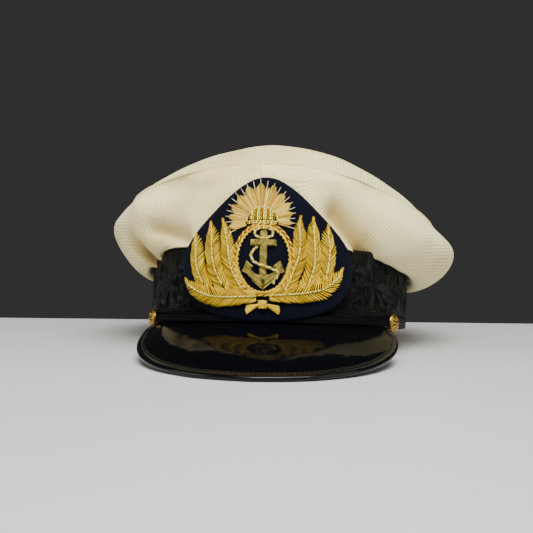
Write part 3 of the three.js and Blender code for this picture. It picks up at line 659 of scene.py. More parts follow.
def smooth_copy(node, levels, rounds):
    """A subdivided copy of a CAD node's solid: points, faces and its sharp rings.

    Each round moves the cage so that the smooth surface comes nearer to passing through the
    solid's own vertices; with none it is drawn in a little.
    """
    bm = bmesh.new()
    bm.from_mesh(NODES[node].data)
    bmesh.ops.remove_doubles(bm, verts=bm.verts, dist=1e-6)
    bmesh.ops.join_triangles(
        bm, faces=bm.faces, angle_face_threshold=1.2, angle_shape_threshold=2.0, cmp_seam=False
    )
    sharp = [e for e in bm.edges if len(e.link_faces) == 2 and e.calc_face_angle() > HEM_ANGLE]
    rings = [[v.index for v in ring] for ring in edge_rings(sharp)]
    mesh = bpy.data.meshes.new(node + "_cage")
    bm.to_mesh(mesh)
    bm.free()
    cage = bpy.data.objects.new(node + "_cage", mesh)
    bpy.context.collection.objects.link(cage)
    modifier = cage.modifiers.new("smooth", "SUBSURF")
    wanted = mesh_points(mesh)
    for step in range(rounds + 1):
        modifier.levels = levels if step == rounds else 1
        bpy.context.view_layer.update()
        evaluated = cage.evaluated_get(bpy.context.evaluated_depsgraph_get())
        result = bpy.data.meshes.new_from_object(evaluated)
        if step < rounds:
            moved = mesh_points(mesh) + wanted - mesh_points(result)[: len(wanted)]
            mesh.vertices.foreach_set("co", moved.reshape(-1))
            mesh.update()
    points = mesh_points(result)
    faces = [tuple(p.vertices) for p in result.polygons]
    bpy.data.objects.remove(cage)
    return points, faces, [wanted[ring] for ring in rings]


class Strands:
    """Many tubes gathered into one mesh, each with its own shade; paths are in metres."""

    def __init__(self):
        self.vertices, self.faces, self.shades, self.winds = [], [], [], []
        self.count = 0

    def tube(self, path, radius, sides=5, shade=None, end=0.6):
        """A tube of one radius or a row of them, drawn in at its ends to a share."""
        path = np.asarray(path, float)
        n = len(path)
        radii = np.ones(n) * radius * MM
        radii[[0, -1]] *= end
        side, up = across_frame(path)
        turn = np.arange(sides) * 2 * math.pi / sides
        ring = side[:, None] * np.cos(turn)[:, None] + up[:, None] * np.sin(turn)[:, None]
        self.vertices.append((path[:, None] + ring * radii[:, None, None]).reshape(-1, 3))
        self.faces += loop_faces(n, sides, self.count)
        self.shades.append(np.full(n * sides, rng.random() if shade is None else shade))
        self.winds.append(np.repeat(distance_along(path) / MM, sides))
        self.count += n * sides

    def twist(self, path, radius, pitch, wire=0.62, steps=8, sides=5, closed=False, strands=2):
        """A cord of strands wound round a path; the radius is the whole cord's."""
        path = np.asarray(path, float)
        if closed:
            path = np.vstack([path, path[:1]])
        length = distance_along(path)
        turns = max(1, round(length[-1] / (pitch * MM)))
        places = np.linspace(0, length[-1], turns * steps + 1)
        fine = read_rows(path, length, places)
        side, up = across_frame(fine)
        offset = radius * MM * (1 - wire)
        for k in range(strands):
            turn = (places / length[-1] * turns + k / strands) * 2 * math.pi
            around = side * np.cos(turn)[:, None] + up * np.sin(turn)[:, None]
            shade = (k + 0.5) / strands
            self.tube(fine + around * offset, radius * wire, sides, shade, end=1.0)

    def piece(self, name, material, slot):
        return piece(name, np.vstack(self.vertices), self.faces, material, slot,
                     shade=np.concatenate(self.shades), wind=np.concatenate(self.winds))


# Crown: the cloth cover with its folds
def seam_ring(rings):
    """The side panel's uppermost sharp ring, as worn, in order round the cap."""
    worn = [to_worn(ring) for ring in rings]
    top = max(worn, key=lambda ring: ring[:, 2].mean() + 0.05 * np.hypot(*ring[:, :2].T).mean())
    return top[np.argsort(front_angle(top))]


def around_seam(values, angle):
    return np.interp(angle, SEAM_ANGLE, values, period=360)


def fold_offset(angle, up):
    """Inward and outward push of every fold at angles and heights."""
    total = np.zeros_like(angle)
    for (a0, u0), (a1, u1), width, depth in FOLDS:
        turned = (angle - a0 + 180) % 360 - 180
        px, py = turned * ARC_PER_DEGREE, up - u0
        dx, dy = (a1 - a0) * ARC_PER_DEGREE, u1 - u0
        t = np.clip((px * dx + py * dy) / (dx * dx + dy * dy), 0, 1)
        away = np.hypot(px - dx * t, py - dy * t)
        total += depth * bell(away, 0, width)
    return total


def smooth_noise(points, height, size, seed, sines=7):
    """Gentle waves that don't repeat, from a few sines in fixed odd directions."""
    own = np.random.default_rng(seed)
    total = np.zeros(len(points))
    for _ in range(sines):
        direction = unit(own.normal(size=3))
        phase = own.uniform(0, 2 * math.pi)
        length = size * own.uniform(0.7, 1.5)
        total += np.sin(points @ direction * 2 * math.pi / length + phase)
    return height * total / sines


def patch_reach(up):
    """Angle at which the badge's patch ends at a height."""
    half = np.interp(up / BADGE_HEIGHT, PATCH_HEIGHTS, PATCH_HALVES, right=0.0)
    return half * BADGE_HALF_WIDTH / ARC_PER_DEGREE


def crown_hang(worn):
    """How far the cloth hangs below its even form above the temples."""
    angle = front_angle(worn)
    low = np.clip((HANG_TOP - worn[:, 2]) / HANG_DEPTH, 0, 1)
    return low * sum(hang * bell(angle, middle, width) for middle, width, hang in HANGS)


def seam_softening(worn, away):
    """A push that rounds the seam over the temples, equal on both of its sides."""
    depth = SEAM_SOFTENING * bell(np.abs(front_angle(worn)), 90, 45) * bell(away, 0, SEAM_REACH)
    outward = worn[:, :2] / (np.hypot(worn[:, 0], worn[:, 1])[:, None] + 1e-6)
    upward = np.ones((len(worn), 1))
    return -depth[:, None] * math.sqrt(0.5) * np.hstack([outward, upward])


def crown_push(worn, below_seam, inside_seam):
    """How far the cloth stands out of or sinks into its even form.

    The side panel is given its height below the seam and the top its way inside it.
    """
    waves = smooth_noise(worn, **BROAD_WAVES) + smooth_noise(worn, **SMALL_WAVES)
    if inside_seam is not None:
        return waves * np.clip(inside_seam / 2 / SEAM_FADE, 0, 1)
    angle, up = front_angle(worn), worn[:, 2]
    hem = np.clip((up - BAND_HEIGHT * 0.55) / 10, 0, 1)
    push = (waves + fold_offset(angle, up)) * (0.25 + 0.75 * hem)
    arc = np.radians(angle) * CROWN_HALF_WIDTH
    push += 0.25 * np.sin(arc / 3.1 + 2 * np.sin(arc / 17)) * bell(below_seam, 8, 5)
    push *= smooth_rise(below_seam / SEAM_FADE)
    clear = np.clip((np.abs(angle) - patch_reach(up)) / 5, 0, 1)
    clear[up > BADGE_HEIGHT + 4] = 1
    return np.where(push > 0, push * clear, push)


def rib_fields(worn):
    """Where the ribs lie: upright in front, slanting at the upper right, level on the lobes."""
    angle = front_angle(worn)
    arc = np.radians(angle) * CROWN_HALF_WIDTH
    above = worn[:, 2] - RIB_TURN_HEIGHT
    slant = -0.2 + 1.2 * smooth_rise((arc + 10) / 50)
    grain = 0.93 * arc - slant * (np.hypot(above, 8) + above) / 2
    return grain, smooth_rise((np.abs(angle) - LOBE_START) / 7)


def add_side(points, faces):
    worn = to_worn(points)
    angle = front_angle(worn)
    below = around_seam(SEAM[:, 2], angle) - worn[:, 2]
    grain, lobe = rib_fields(worn)
    # How deep each fold sinks; the cloth's colour darkens with it as dust and painted shade
    hollow = np.clip(-fold_offset(angle, worn[:, 2]) / DEEPEST_FOLD, 0, 1)
    push = crown_push(worn, below, None)
    outward = worn[:, :2] / (np.hypot(worn[:, 0], worn[:, 1])[:, None] + 1e-6)
    outward = np.hstack([outward, np.full((len(worn), 1), 0.35)])
    softening = seam_softening(worn, np.maximum(below, 0))
    worn[:, 2] -= crown_hang(worn)
    placed = to_rest(worn + outward * push[:, None] + softening)
    obj = piece("crown_side_cloth", placed, faces, "side_cloth", "white_cloth",
                grain=grain, lobe=lobe, hollow=hollow)
    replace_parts(obj, "crown_side")
    return obj


def add_top(points, faces):
    worn = to_worn(points)
    inside = around_seam(SEAM_RADIUS, front_angle(worn)) - np.hypot(worn[:, 0], worn[:, 1])
    grain, lobe = rib_fields(worn)
    push = crown_push(worn, None, inside)
    softening = seam_softening(worn, np.maximum(inside, 0))
    worn[:, 2] += push
    obj = piece("crown_top_cloth", to_rest(worn + softening), faces, "top_cloth", "white_cloth",
                grain=grain, lobe=lobe, hollow=np.zeros(len(worn)))
    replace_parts(obj, "crown_top")
    return obj


def add_welt():
    """The cloth cord along the seam, evened out and closed on itself."""
    points = 720
    closed = np.vstack([SEAM, SEAM[:1]])
    fine = np.linspace(0, len(SEAM), points + 1)[:-1]
    path = read_rows(closed, np.arange(len(closed)), fine)
    for _ in range(6):
        path = (np.roll(path, 1, 0) + 2 * path + np.roll(path, -1, 0)) / 4
    path[:, 2] += WELT_LIFT
    path += seam_softening(path, np.zeros(points))
    welt = Strands()
    welt.tube(to_rest(np.vstack([path, path[:2]])), WELT_RADIUS, 8, end=1.0)
    welt.piece("crown_seam_welt", "top_cloth", "white_cloth")


side_points, side_faces, side_rings = smooth_copy("crown_side", CROWN_LEVELS, FIT_ROUNDS)
SEAM = seam_ring(side_rings)
SEAM_ANGLE = front_angle(SEAM)
SEAM_RADIUS = np.hypot(SEAM[:, 0], SEAM[:, 1])
crown_pieces = [
    add_side(side_points, side_faces),
    add_top(*smooth_copy("crown_top", CROWN_LEVELS, FIT_ROUNDS)[:2]),
]
add_welt()


# Badge: places on the patch
def arc_table():
    """Arcs along the band's ellipse from its front, and the angles they belong to."""
    phi = np.linspace(-1.2, 1.2, 1201)
    speed = np.hypot(BAND_HALF_WIDTH * np.cos(phi), BAND_HALF_LENGTH * np.sin(phi))
    arc = np.concatenate([[0], np.cumsum((speed[1:] + speed[:-1]) / 2 * np.diff(phi))])
    return arc - np.interp(0, phi, arc), phi


ARC, PHI = arc_table()


def front_lean(up):
    return PATCH_LEAN * np.sin(math.pi * np.clip(up / BADGE_HEIGHT, 0, 1) * 0.92)


def on_band(phi, out, up):
    """Worn points on the band's outer face at ellipse angles, pushed out."""
    normal = unit(np.stack([np.sin(phi) / BAND_HALF_WIDTH, -np.cos(phi) / BAND_HALF_LENGTH], -1))
    x = BAND_HALF_WIDTH * np.sin(phi) + normal[..., 0] * out
    y = -BAND_HALF_LENGTH * np.cos(phi) + normal[..., 1] * out
    return np.stack([x, y, np.broadcast_to(up, x.shape)], -1)


def on_front(across, up, out):
    across, up, out = np.broadcast_arrays(*(np.asarray(v, float) for v in (across, up, out)))
    return on_band(np.interp(across, ARC, PHI), front_lean(up) + out, up)


def patch_shape():
    """The patch smoothed, with its top put back where the smoothing draws it in."""
    vertices, faces, _ = smooth_copy("badge_patch", levels=2, rounds=0)
    worn = to_worn(vertices)
    share = np.clip((worn[:, 2] - PATCH_TIP["from"]) / PATCH_TIP["over"], 0, 1)
    worn[:, 2] += PATCH_TIP["rise"] * share**2
    return worn, faces


PATCH_WORN, PATCH_FACES = patch_shape()
GRID_ACROSS = np.arange(-54.0, 54.5, 1.0)
GRID_UP = np.arange(0.0, 88.5, 1.0)


def rise_grid():
    """How far the patch's face stands out from the leaning front, on a grid."""
    tree = BVHTree.FromPolygons(PATCH_WORN.tolist(), PATCH_FACES)
    grid = np.full((len(GRID_UP), len(GRID_ACROSS)), PATCH_DEFAULT_RISE)
    for i, up in enumerate(GRID_UP):
        outer, inner = on_front(GRID_ACROSS, up, PROBE_REACH), on_front(GRID_ACROSS, up, 0.0)
        for j in range(len(GRID_ACROSS)):
            hit = tree.ray_cast(Vector(outer[j]), Vector(inner[j] - outer[j]).normalized())
            if hit[0] is not None and hit[3] < PROBE_REACH - 0.2:
                grid[i, j] = PROBE_REACH - hit[3]
    return grid


RISE = rise_grid()


def on_badge(across, up, out):
    """Resting points over the patch's face at arcs, heights and distances out from it."""
    across, up, out = np.broadcast_arrays(*(np.asarray(v, float) for v in (across, up, out)))
    i = np.clip(up - GRID_UP[0], 0, len(GRID_UP) - 1.001)
    j = np.clip(across - GRID_ACROSS[0], 0, len(GRID_ACROSS) - 1.001)
    i0, j0 = i.astype(int), j.astype(int)
    fi, fj = i - i0, j - j0
    rise = (RISE[i0, j0] * (1 - fi) * (1 - fj) + RISE[i0 + 1, j0] * fi * (1 - fj)
            + RISE[i0, j0 + 1] * (1 - fi) * fj + RISE[i0 + 1, j0 + 1] * fi * fj)
    return to_rest(on_front(across, up, rise + out))


def add_patch():
    obj = piece("badge_patch_cloth", to_rest(PATCH_WORN), PATCH_FACES, "navy", "navy_cloth")
    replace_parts(obj, "badge_patch")


add_patch()


# Gold wire
def smooth_line(points, count):
    """A Catmull-Rom line through points, read at even steps, and its length."""
    points = np.asarray(points, float)
    padded = np.vstack([2 * points[0] - points[1], points, 2 * points[-1] - points[-2]])
    t = np.linspace(0, 1, 16, endpoint=False)[:, None]
    runs = []
    for p, a, b, n in zip(padded, padded[1:], padded[2:], padded[3:]):
        bend = (2 * p - 5 * a + 4 * b - n) * t**2 + (3 * a - p - 3 * b + n) * t**3
        runs.append(0.5 * (2 * a + (b - p) * t + bend))
    line = np.vstack([*runs, points[-1:]])
    length = distance_along(line)
    return read_rows(line, length, np.linspace(0, length[-1], count)), length[-1]


def add_leaf(name, halves, shares, vein_rows):
    """Slanted wires on both sides of a vein cord, with a toothed edge and a wisp at the tip."""
    line, length = smooth_line(np.array(vein_rows) * [BADGE_HALF_WIDTH, BADGE_HEIGHT], LEAF_POINTS)
    t = np.linspace(0, 1, LEAF_POINTS)
    direction = unit(np.gradient(line, axis=0))
    widths = BADGE_HALF_WIDTH * np.interp(t, LEAF_ALONG, shares)
    upright = shares is UPRIGHT
    lift = 0.0 if upright else LYING_LIFT
    lead = LEAF_LEAD / length
    wires = Strands()
    for side, half in zip((-1, 1), halves):
        square = np.column_stack([direction[:, 1], -direction[:, 0]]) * side
        edge = line + square * (half * widths)[:, None]
        count = int(max(length, 0.5 * (length + distance_along(edge)[-1])) / WIRE_STEP)
        for k in range(-EARLY_WIRES, count):
            start = k / count
            end = min(start + lead * (1.15 - 0.35 * max(start, 0)), 1.0)
            if end < 0.05:
                continue
            reach = half * np.interp(end, t, widths) * (1 + WIRE_JITTER * rng.standard_normal())
            run = read_rows(direction, t, end)
            square = np.array([run[1], -run[0]]) * side
            foot = read_rows(line, t, max(start, 0)) + square * reach * max(-start / lead, 0)
            head = read_rows(line, t, end) + square * reach
            if np.hypot(*(head - foot)) < SHORTEST_WIRE:
                continue
            s = np.linspace(0.05, 1, 7)
            flat = foot + (head - foot) * s[:, None]
            flat += np.outer(np.sin(s * math.pi) * 0.35, -run)
            rise = smooth_rise(end * length / ROOT_LENGTH) if upright else 1.0
            dome = (WIRE_THICKNESS - 0.2) * np.sqrt(np.clip(1 - s**2.6, 0, 1))
            out = lift * (1 - 0.4 * s) + 0.4 + rise * dome
            wires.tube(on_badge(*flat.T, out), WIRE_RADIUS, 6)
    tip, run = line[-1], direction[-1]
    for lean in WISP_LEANS:
        s = np.linspace(-WISP_BACK, WISP_AHEAD - abs(lean), 6)
        aside = lean * (s + WISP_BACK) * 0.3
        across, up = tip[0] + run[0] * s + run[1] * aside, tip[1] + run[1] * s - run[0] * aside
        wires.tube(on_badge(across, up, lift * 0.6 + 0.7), WIRE_RADIUS * 0.6)
    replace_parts(wires.piece(name + "_wires", "gold", "gold_wire"), name)
    spine = read_rows(line, t, np.linspace(ROOT_LENGTH / length if upright else 0.0, VEIN_END, 70))
    vein = Strands()
    vein.twist(on_badge(*spine.T, lift + WIRE_THICKNESS + 0.5), radius=0.60, pitch=2.6)
    vein.piece(name + "_vein", "bright", "bright_wire")


def on_sun(radius, angle, out):
    return on_badge(SUN_ACROSS + radius * np.cos(angle), SUN_UP + radius * np.sin(angle), out)


def sun_reach(angle):
    even = 1 / math.hypot(math.cos(angle) / SUN_HALF_WIDTH, math.sin(angle) / SUN_HEIGHT)
    return even - SUN_LOPSIDED * math.cos(angle)


def add_sun_rays():
    """Pointed petals of wires side by side, with thin rays between and along them."""
    pitch = math.radians(SUN_SPREAD) / (SUN_PETALS - 1)
    first = math.radians(SUN_MIDDLE - SUN_SPREAD / 2)
    petals, rays = Strands(), Strands()
    near = SUN_DOME_RADIUS + 0.6
    s = np.linspace(0, 1, 7)
    for k in range(SUN_PETALS):
        middle = first + k * pitch
        tip = sun_reach(middle) * (0.98 + 0.04 * rng.random())
        for j in range(SUN_STRANDS):
            offset = 2 * (j + 0.5) / SUN_STRANDS - 1
            far = tip * (1 - SUN_NOTCH * abs(offset) * (1 + 0.12 * rng.standard_normal()))
            out = 0.4 + (1.35 - 0.7 * abs(offset)) * (1 - 0.5 * s**2)
            path = on_sun(near + (far - near) * s, middle + offset * pitch / 2, out)
            petals.tube(path, 0.28 * np.linspace(0.8, 1.1, 7), 6)
    for k in range(2 * SUN_PETALS + 1):
        angle = first + (k - 1) * pitch / 2
        start, length = (0.7, 1.07) if k % 2 == 0 else (0.85, 1.08)
        far = sun_reach(angle) * length * (0.97 + 0.06 * rng.random())
        rays.tube(on_sun(far * np.linspace(start, 1, 5), angle, 0.6), 0.24)
    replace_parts(petals.piece("sun_petals", "pale", "pale_wire"), "sun_rays")
    rays.piece("sun_threads", "silver", "pale_wire")


def add_sun_dome():
    """A pleated half disc in a corded rim, with two cords along its foot."""
    dome, rim, foot = Strands(), Strands(), Strands()
    s = np.linspace(0, 1, 10)
    for k in range(DOME_COLUMNS):
        x = ((k + 0.5) / DOME_COLUMNS * 2 - 1) * (SUN_DOME_RADIUS - 1.0)
        height = math.sqrt(SUN_DOME_RADIUS**2 - x**2)
        arch = height / SUN_DOME_RADIUS * np.sqrt(np.clip(1 - (0.9 * s) ** 2, 0, 1))
        path = on_badge(SUN_ACROSS + x, SUN_UP + 0.5 + (height - 0.8) * s, 0.6 + SUN_RISE * arch)
        dome.tube(path, 0.60, 7, shade=DOME_SHADES[k % 3])
    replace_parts(dome.piece("sun_dome_bullion", "dome", "bright_wire"), "sun_dome")
    turn = np.linspace(-0.08, math.pi + 0.08, 60)
    rim.twist(on_sun(SUN_DOME_RADIUS + 0.15, turn, 1.3), radius=0.6, pitch=1.9)
    rim.piece("sun_rim_cord", "bright", "bright_wire")
    x = np.linspace(-SUN_DOME_RADIUS + 0.4, SUN_DOME_RADIUS - 0.4, 30)
    for drop, lift in ((-0.1, 2.2), (-1.1, 1.8)):
        path = on_badge(SUN_ACROSS + x, SUN_UP + drop - 0.012 * x**2, lift)
        foot.twist(path, radius=0.62, pitch=2.2)
    foot.piece("sun_foot_cord", "dome", "gold_wire")


def round_oval(turn, grow, out):
    across = (OVAL_HALF_WIDTH + grow) * np.cos(turn)
    return on_badge(across, OVAL_UP + (OVAL_HALF_HEIGHT + grow) * np.sin(turn), out)


def add_oval():
    """Two cords round the anchor: a close twist outside and looped purl inside."""
    turn = np.linspace(0, 2 * math.pi, 241)[:-1]
    cord, purl = Strands(), Strands()
    cord.twist(round_oval(turn, 0.75, 1.35), radius=0.95, pitch=3.8, wire=0.5, steps=10,
               sides=7, closed=True)
    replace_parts(cord.piece("oval_outer_cord", "orange", "gold_wire"), "oval_cord")
    fine = np.linspace(0, 2 * math.pi, 1201)[:-1]
    wave = np.abs(np.sin(fine * OVAL_LOOPS / 2))
    path = round_oval(fine, 0.75 * wave - 1.45, 0.9 + 0.7 * wave)
    purl.tube(np.vstack([path, path[:2]]), 0.62, 7, end=1.0)
    purl.twist(round_oval(turn, -0.55, 1.0), radius=0.55, pitch=2.1, closed=True)
    purl.piece("oval_inner_purl", "orange", "gold_wire")


def hatch(wires, outline, slant, step, radius, lift):
    """Parallel wires across a closed outline, domed towards its middle."""
    along = np.array([math.cos(slant), math.sin(slant)])
    square = np.array([-along[1], along[0]])
    levels = outline @ square
    for level in np.arange(levels.min() + step / 2, levels.max(), step):
        crossings = []
        for p, q in zip(outline, np.roll(outline, -1, 0)):
            a, b = p @ square - level, q @ square - level
            if (a <= 0 < b) or (b <= 0 < a):
                crossings.append(float((p + (q - p) * a / (a - b)) @ along))
        crossings.sort()
        for low, high in zip(crossings[::2], crossings[1::2]):
            if high - low < 0.5:
                continue
            s = np.linspace(-1, 1, 7)
            flat = np.outer((low + high) / 2 + s * (high - low + 0.3) / 2, along) + square * level
            dome = np.sqrt(np.clip(1 - np.abs(s) ** 2.4, 0, 1)) * min(1, (high - low) / 3)
            wires.tube(on_badge(*flat.T, lift + WIRE_THICKNESS * dome), radius, 6)


def in_oval(rows, side=1):
    rows = np.array(rows)[:, :2] * [side * OVAL_HALF_WIDTH, OVAL_HALF_HEIGHT]
    return rows + [0, OVAL_UP]


def add_anchor():
    """Anchor of hatched wire, with a twisted rope and ring."""
    wires, rope, ring = Strands(), Strands(), Strands()
    parts = [(ANCHOR_FLUKE, -1, -42, 0.25), (ANCHOR_FLUKE, 1, 42, 0.25),
             (ANCHOR_SHANK, 1, -35, 0.45), (ANCHOR_STOCK, 1, 60, 0.7)]
    for outline, side, slant, lift in parts:
        hatch(wires, in_oval(outline, side), math.radians(slant), ANCHOR_STEP, ANCHOR_WIRE, lift)
    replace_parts(wires.piece("anchor_wires", "olive", "olive_wire"), "anchor")
    lifts = np.array(ROPE_TURNS)[:, 2]
    curve, _ = smooth_line(np.column_stack([in_oval(ROPE_TURNS), lifts]), 90)
    rope.twist(on_badge(*curve.T), radius=0.98, pitch=4.2, wire=0.5, sides=7)
    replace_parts(rope.piece("anchor_rope_twist", "bright", "bright_wire"), "anchor_rope")
    turn = np.linspace(0, 2 * math.pi, 73)[:-1]
    width, height = RING_SIZE[0] * OVAL_HALF_WIDTH, RING_SIZE[1] * OVAL_HALF_HEIGHT
    near = np.clip(1 - np.abs(np.cos(turn)) * 1.05, 0, 1) * (np.sin(turn) < 0)
    up = OVAL_UP + RING_UP * OVAL_HALF_HEIGHT + height * np.sin(turn)
    path = on_badge(width * np.cos(turn), up, 0.9 + 1.7 * near)
    ring.twist(path, radius=0.9, pitch=3.8, wire=0.5, sides=7, closed=True)
    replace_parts(ring.piece("anchor_ring_twist", "bright", "bright_wire"), "anchor_ring")


def add_knot():
    """The ribbon's tie with a bright strand, and its two fanned tails."""
    wires, bright = Strands(), Strands()
    size = np.array([BADGE_HALF_WIDTH, BADGE_HEIGHT])
    for side in (-1, 1):
        for k in range(KNOT_TAIL_WIRES):
            fan = 2 * k / (KNOT_TAIL_WIRES - 1) - 1
            end = (0.185 - 0.012 * abs(fan), 0.088 - 0.026 * fan)
            rows = np.array([(0.02, 0.128), (0.085, 0.112 - 0.012 * fan), end])
            line, _ = smooth_line(rows * size * [side, 1], 12)
            lift = 0.6 + 1.1 * np.linspace(1, 0.2, 12) * (1 - 0.3 * fan**2)
            wires.tube(on_badge(*line.T, lift), 0.5, 6)
    hatch(wires, np.array(KNOT_TIE) * size, slant=0, step=0.8, radius=0.44, lift=1.0)
    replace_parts(wires.piece("ribbon_knot_wires", "gold", "gold_wire"), "ribbon_knot")
    up = np.linspace(0.1, 0.156, 12) * BADGE_HEIGHT
    bright.twist(on_badge(0.25, up, WIRE_THICKNESS + 1.5), radius=0.5, pitch=1.8)
    bright.piece("ribbon_tie_strand", "bright", "bright_wire")


for leaf_row in LEAVES:
    add_leaf(*leaf_row)
add_sun_rays()
add_sun_dome()
add_oval()
add_anchor()
add_knot()


# Band with its raised braid
def braid_field(run, up):
    """Contour distance and relief of the braid's leaf scroll."""
    contour = np.full(run.shape, 1e9)
    relief = np.zeros(run.shape)
    for x0, y0, size, turn, lobes in BRAID_MOTIFS:
        dx = (run - x0 + BRAID_PERIOD / 2) % BRAID_PERIOD - BRAID_PERIOD / 2
        dy = (up - y0) * 1.05
        r = np.hypot(dx, dy)
        angle = np.arctan2(dy, dx) - turn
        edge = size * (0.78 + 0.20 * np.cos(lobes * angle + 0.06 * r) + 0.08 * np.cos(angle))
        contour = np.minimum(contour, r - edge)
        relief = np.maximum(relief, smooth_rise((edge - r) / 2.2) * (0.55 + 0.1 * np.cos(r * 1.2)))
    flat = np.clip((up - BRAID_PLAIN_TO) / 2.5, 0, 1)
    beads = bell(up, BEAD_HEIGHT, 0.9) * (0.35 + 0.35 * np.cos(run * 2 * math.pi / BEAD_PITCH))
    edge_rows = sum(0.25 * bell(up, row, 1.0) for row in EDGE_ROWS)
    return contour * flat + up * (1 - flat), relief * flat + beads + edge_rows


def add_band():
    phi = np.linspace(-math.pi, math.pi, BRAID_COLUMNS + 1)[:-1]
    speed = np.hypot(BAND_HALF_WIDTH * np.cos(phi), BAND_HALF_LENGTH * np.sin(phi))
    run = np.concatenate([[0], np.cumsum((speed[1:] + speed[:-1]) / 2 * np.diff(phi))])
    run *= BRAID_REPEATS * BRAID_PERIOD / (run[-1] + speed[0] * (phi[1] - phi[0]))
    grid_run, up = np.meshgrid(run, np.linspace(0, BAND_HEIGHT, BRAID_ROWS))
    contour, relief = braid_field(grid_run, up)
    hem = np.minimum(1, np.minimum(up, BAND_HEIGHT - up) / 1.2)
    outer = on_band(np.broadcast_to(phi, up.shape), relief - 0.5 + 0.45 * hem, up)
    inner_phi = np.broadcast_to(phi, (2, BRAID_COLUMNS))
    inner = on_band(inner_phi, -BAND_WALL, np.array([[BAND_HEIGHT], [0.0]]))
    points = to_rest(np.concatenate([outer, inner]).reshape(-1, 3))
    faces = loop_faces(BRAID_ROWS + 2, BRAID_COLUMNS, closed=True)
    values = np.concatenate([contour.reshape(-1), np.zeros(2 * BRAID_COLUMNS)])
    obj = piece("band_braid", points, faces, "braid", "black_braid", contour=values)
    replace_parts(obj, "band")


add_band()


# Peak, its binding and stitches
def smooth_table(xs, ys, x):
    """A smooth curve through a table, with the slopes of its neighbours."""
    xs, ys = np.array(xs, float), np.array(ys, float)
    places = np.arange(len(xs))
    left, right = np.maximum(places - 1, 0), np.minimum(places + 1, places[-1])
    slopes = (ys[right] - ys[left]) / (xs[right] - xs[left])
    i = np.clip(np.searchsorted(xs, x, "right") - 1, 0, len(xs) - 2)
    span = xs[i + 1] - xs[i]
    t = np.clip((x - xs[i]) / span, 0, 1)
    return ((2 * t**3 - 3 * t**2 + 1) * ys[i] + (t**3 - 2 * t**2 + t) * slopes[i] * span
            + (3 * t**2 - 2 * t**3) * ys[i + 1] + (t**3 - t**2) * slopes[i + 1] * span)


def peak_shape(along):
    """Reach and drop of the peak at shares of its corner angle."""
    reach = smooth_table(PEAK_ALONG, PEAK_REACHES, np.abs(along)) * PEAK_REACH
    drop = smooth_table(PEAK_ALONG, PEAK_DROPS, np.abs(along)) * PEAK_DROP
    return reach, drop


def peak_point(along, out, below=0.0):
    along, out = np.broadcast_arrays(np.asarray(along, float), np.asarray(out, float))
    reach, drop = peak_shape(along)
    share = out / reach
    arch = PEAK_ARCH * np.sin(math.pi * np.clip(share, 0, 1))
    return on_band(along * PEAK_CORNER, GAP + out, PEAK_TOP - drop * (share - arch) - below)


def peak_normal(along, out, step=0.004, reach=0.3):
    """The upward normal of the peak's upper face."""
    run = peak_point(along + step, out) - peak_point(along - step, out)
    down = peak_point(along, out + reach) - peak_point(along, out - reach)
    normal = unit(np.cross(run, down))
    return normal * np.sign(normal[..., 2:3])


def add_peak():
    """The visor's plate: a long arched sheet, shiny on top and underneath."""
    along = np.linspace(-1, 1, 161)
    reach, _ = peak_shape(along)
    share = np.concatenate([np.linspace(0, 1, 40), np.linspace(1, 0, 40)])
    below = np.repeat([0, PEAK_THICKNESS], 40)
    out = share[None] * (reach[:, None] - PEAK_UNDER_BINDING)
    loops = peak_point(along[:, None], out, below[None])
    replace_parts(loops_piece("peak_leather", loops, "patent", "black_patent"), "peak")


def binding_path():
    """Places round the peak's edge, from one end on the band to the other."""
    along = np.linspace(1, -1, 201)
    reach, _ = peak_shape(along)
    ends = [(BINDING_END, s * reach[0]) for s in (0.05, 0.35, 0.65)]
    places = np.array([*ends, *zip(along, reach), *((-a, out) for a, out in reversed(ends))])
    for _ in range(3):
        places[1:-1] = (places[:-2] + 2 * places[1:-1] + places[2:]) / 4
    return places


def add_binding():
    """A strip of patent folded over the peak's edge, with a sunk line of stitches."""
    places = binding_path()
    points, normals = peak_point(*places.T), peak_normal(*places.T)
    inward = np.cross(normals, unit(np.gradient(points, axis=0)))
    towards = peak_point(places[:, 0] * 0.97, places[:, 1] * 0.9) - points
    inward *= np.sign((inward * towards).sum(1))[:, None]
    width = np.minimum(BINDING_WIDTH, 0.75 * places[:, 1] + 1.0)

    def beside(share, lift):
        return points + inward * (share * width)[:, None] + normals * lift

    centre = points + inward * BINDING_RADIUS - normals * (BINDING_RADIUS - BINDING_RISE)
    loops = [beside(share, lift) for share, lift in BINDING_FACE]
    for turn in np.radians(np.linspace(70, -90, 9)):
        loops.append(centre + (normals * math.sin(turn) - inward * math.cos(turn)) * BINDING_RADIUS)
    for share, lift in ((0.55, -0.5), (0.9, -0.5), (0.95, 0.1)):
        loops.append(beside(share, lift - PEAK_THICKNESS))
    strip = loops_piece("peak_binding_strip", np.stack(loops, 1), "binding", "black_patent")
    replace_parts(strip, "peak_binding")
    stitches = Strands()
    length = distance_along(points)
    line = beside(STITCH_PLACE, 0.34)
    arch = np.array([-0.1, 0.12, 0.12, -0.1])[:, None]
    for start in np.arange(6, length[-1] - 6, STITCH_STEP):
        s = np.linspace(start, start + 0.7 * STITCH_STEP, 4)
        path = read_rows(line, length, s) + read_rows(normals, length, s) * arch
        stitches.tube(to_rest(path), STITCH_RADIUS)
    stitches.piece("peak_stitches", "black_thread", "black_patent")


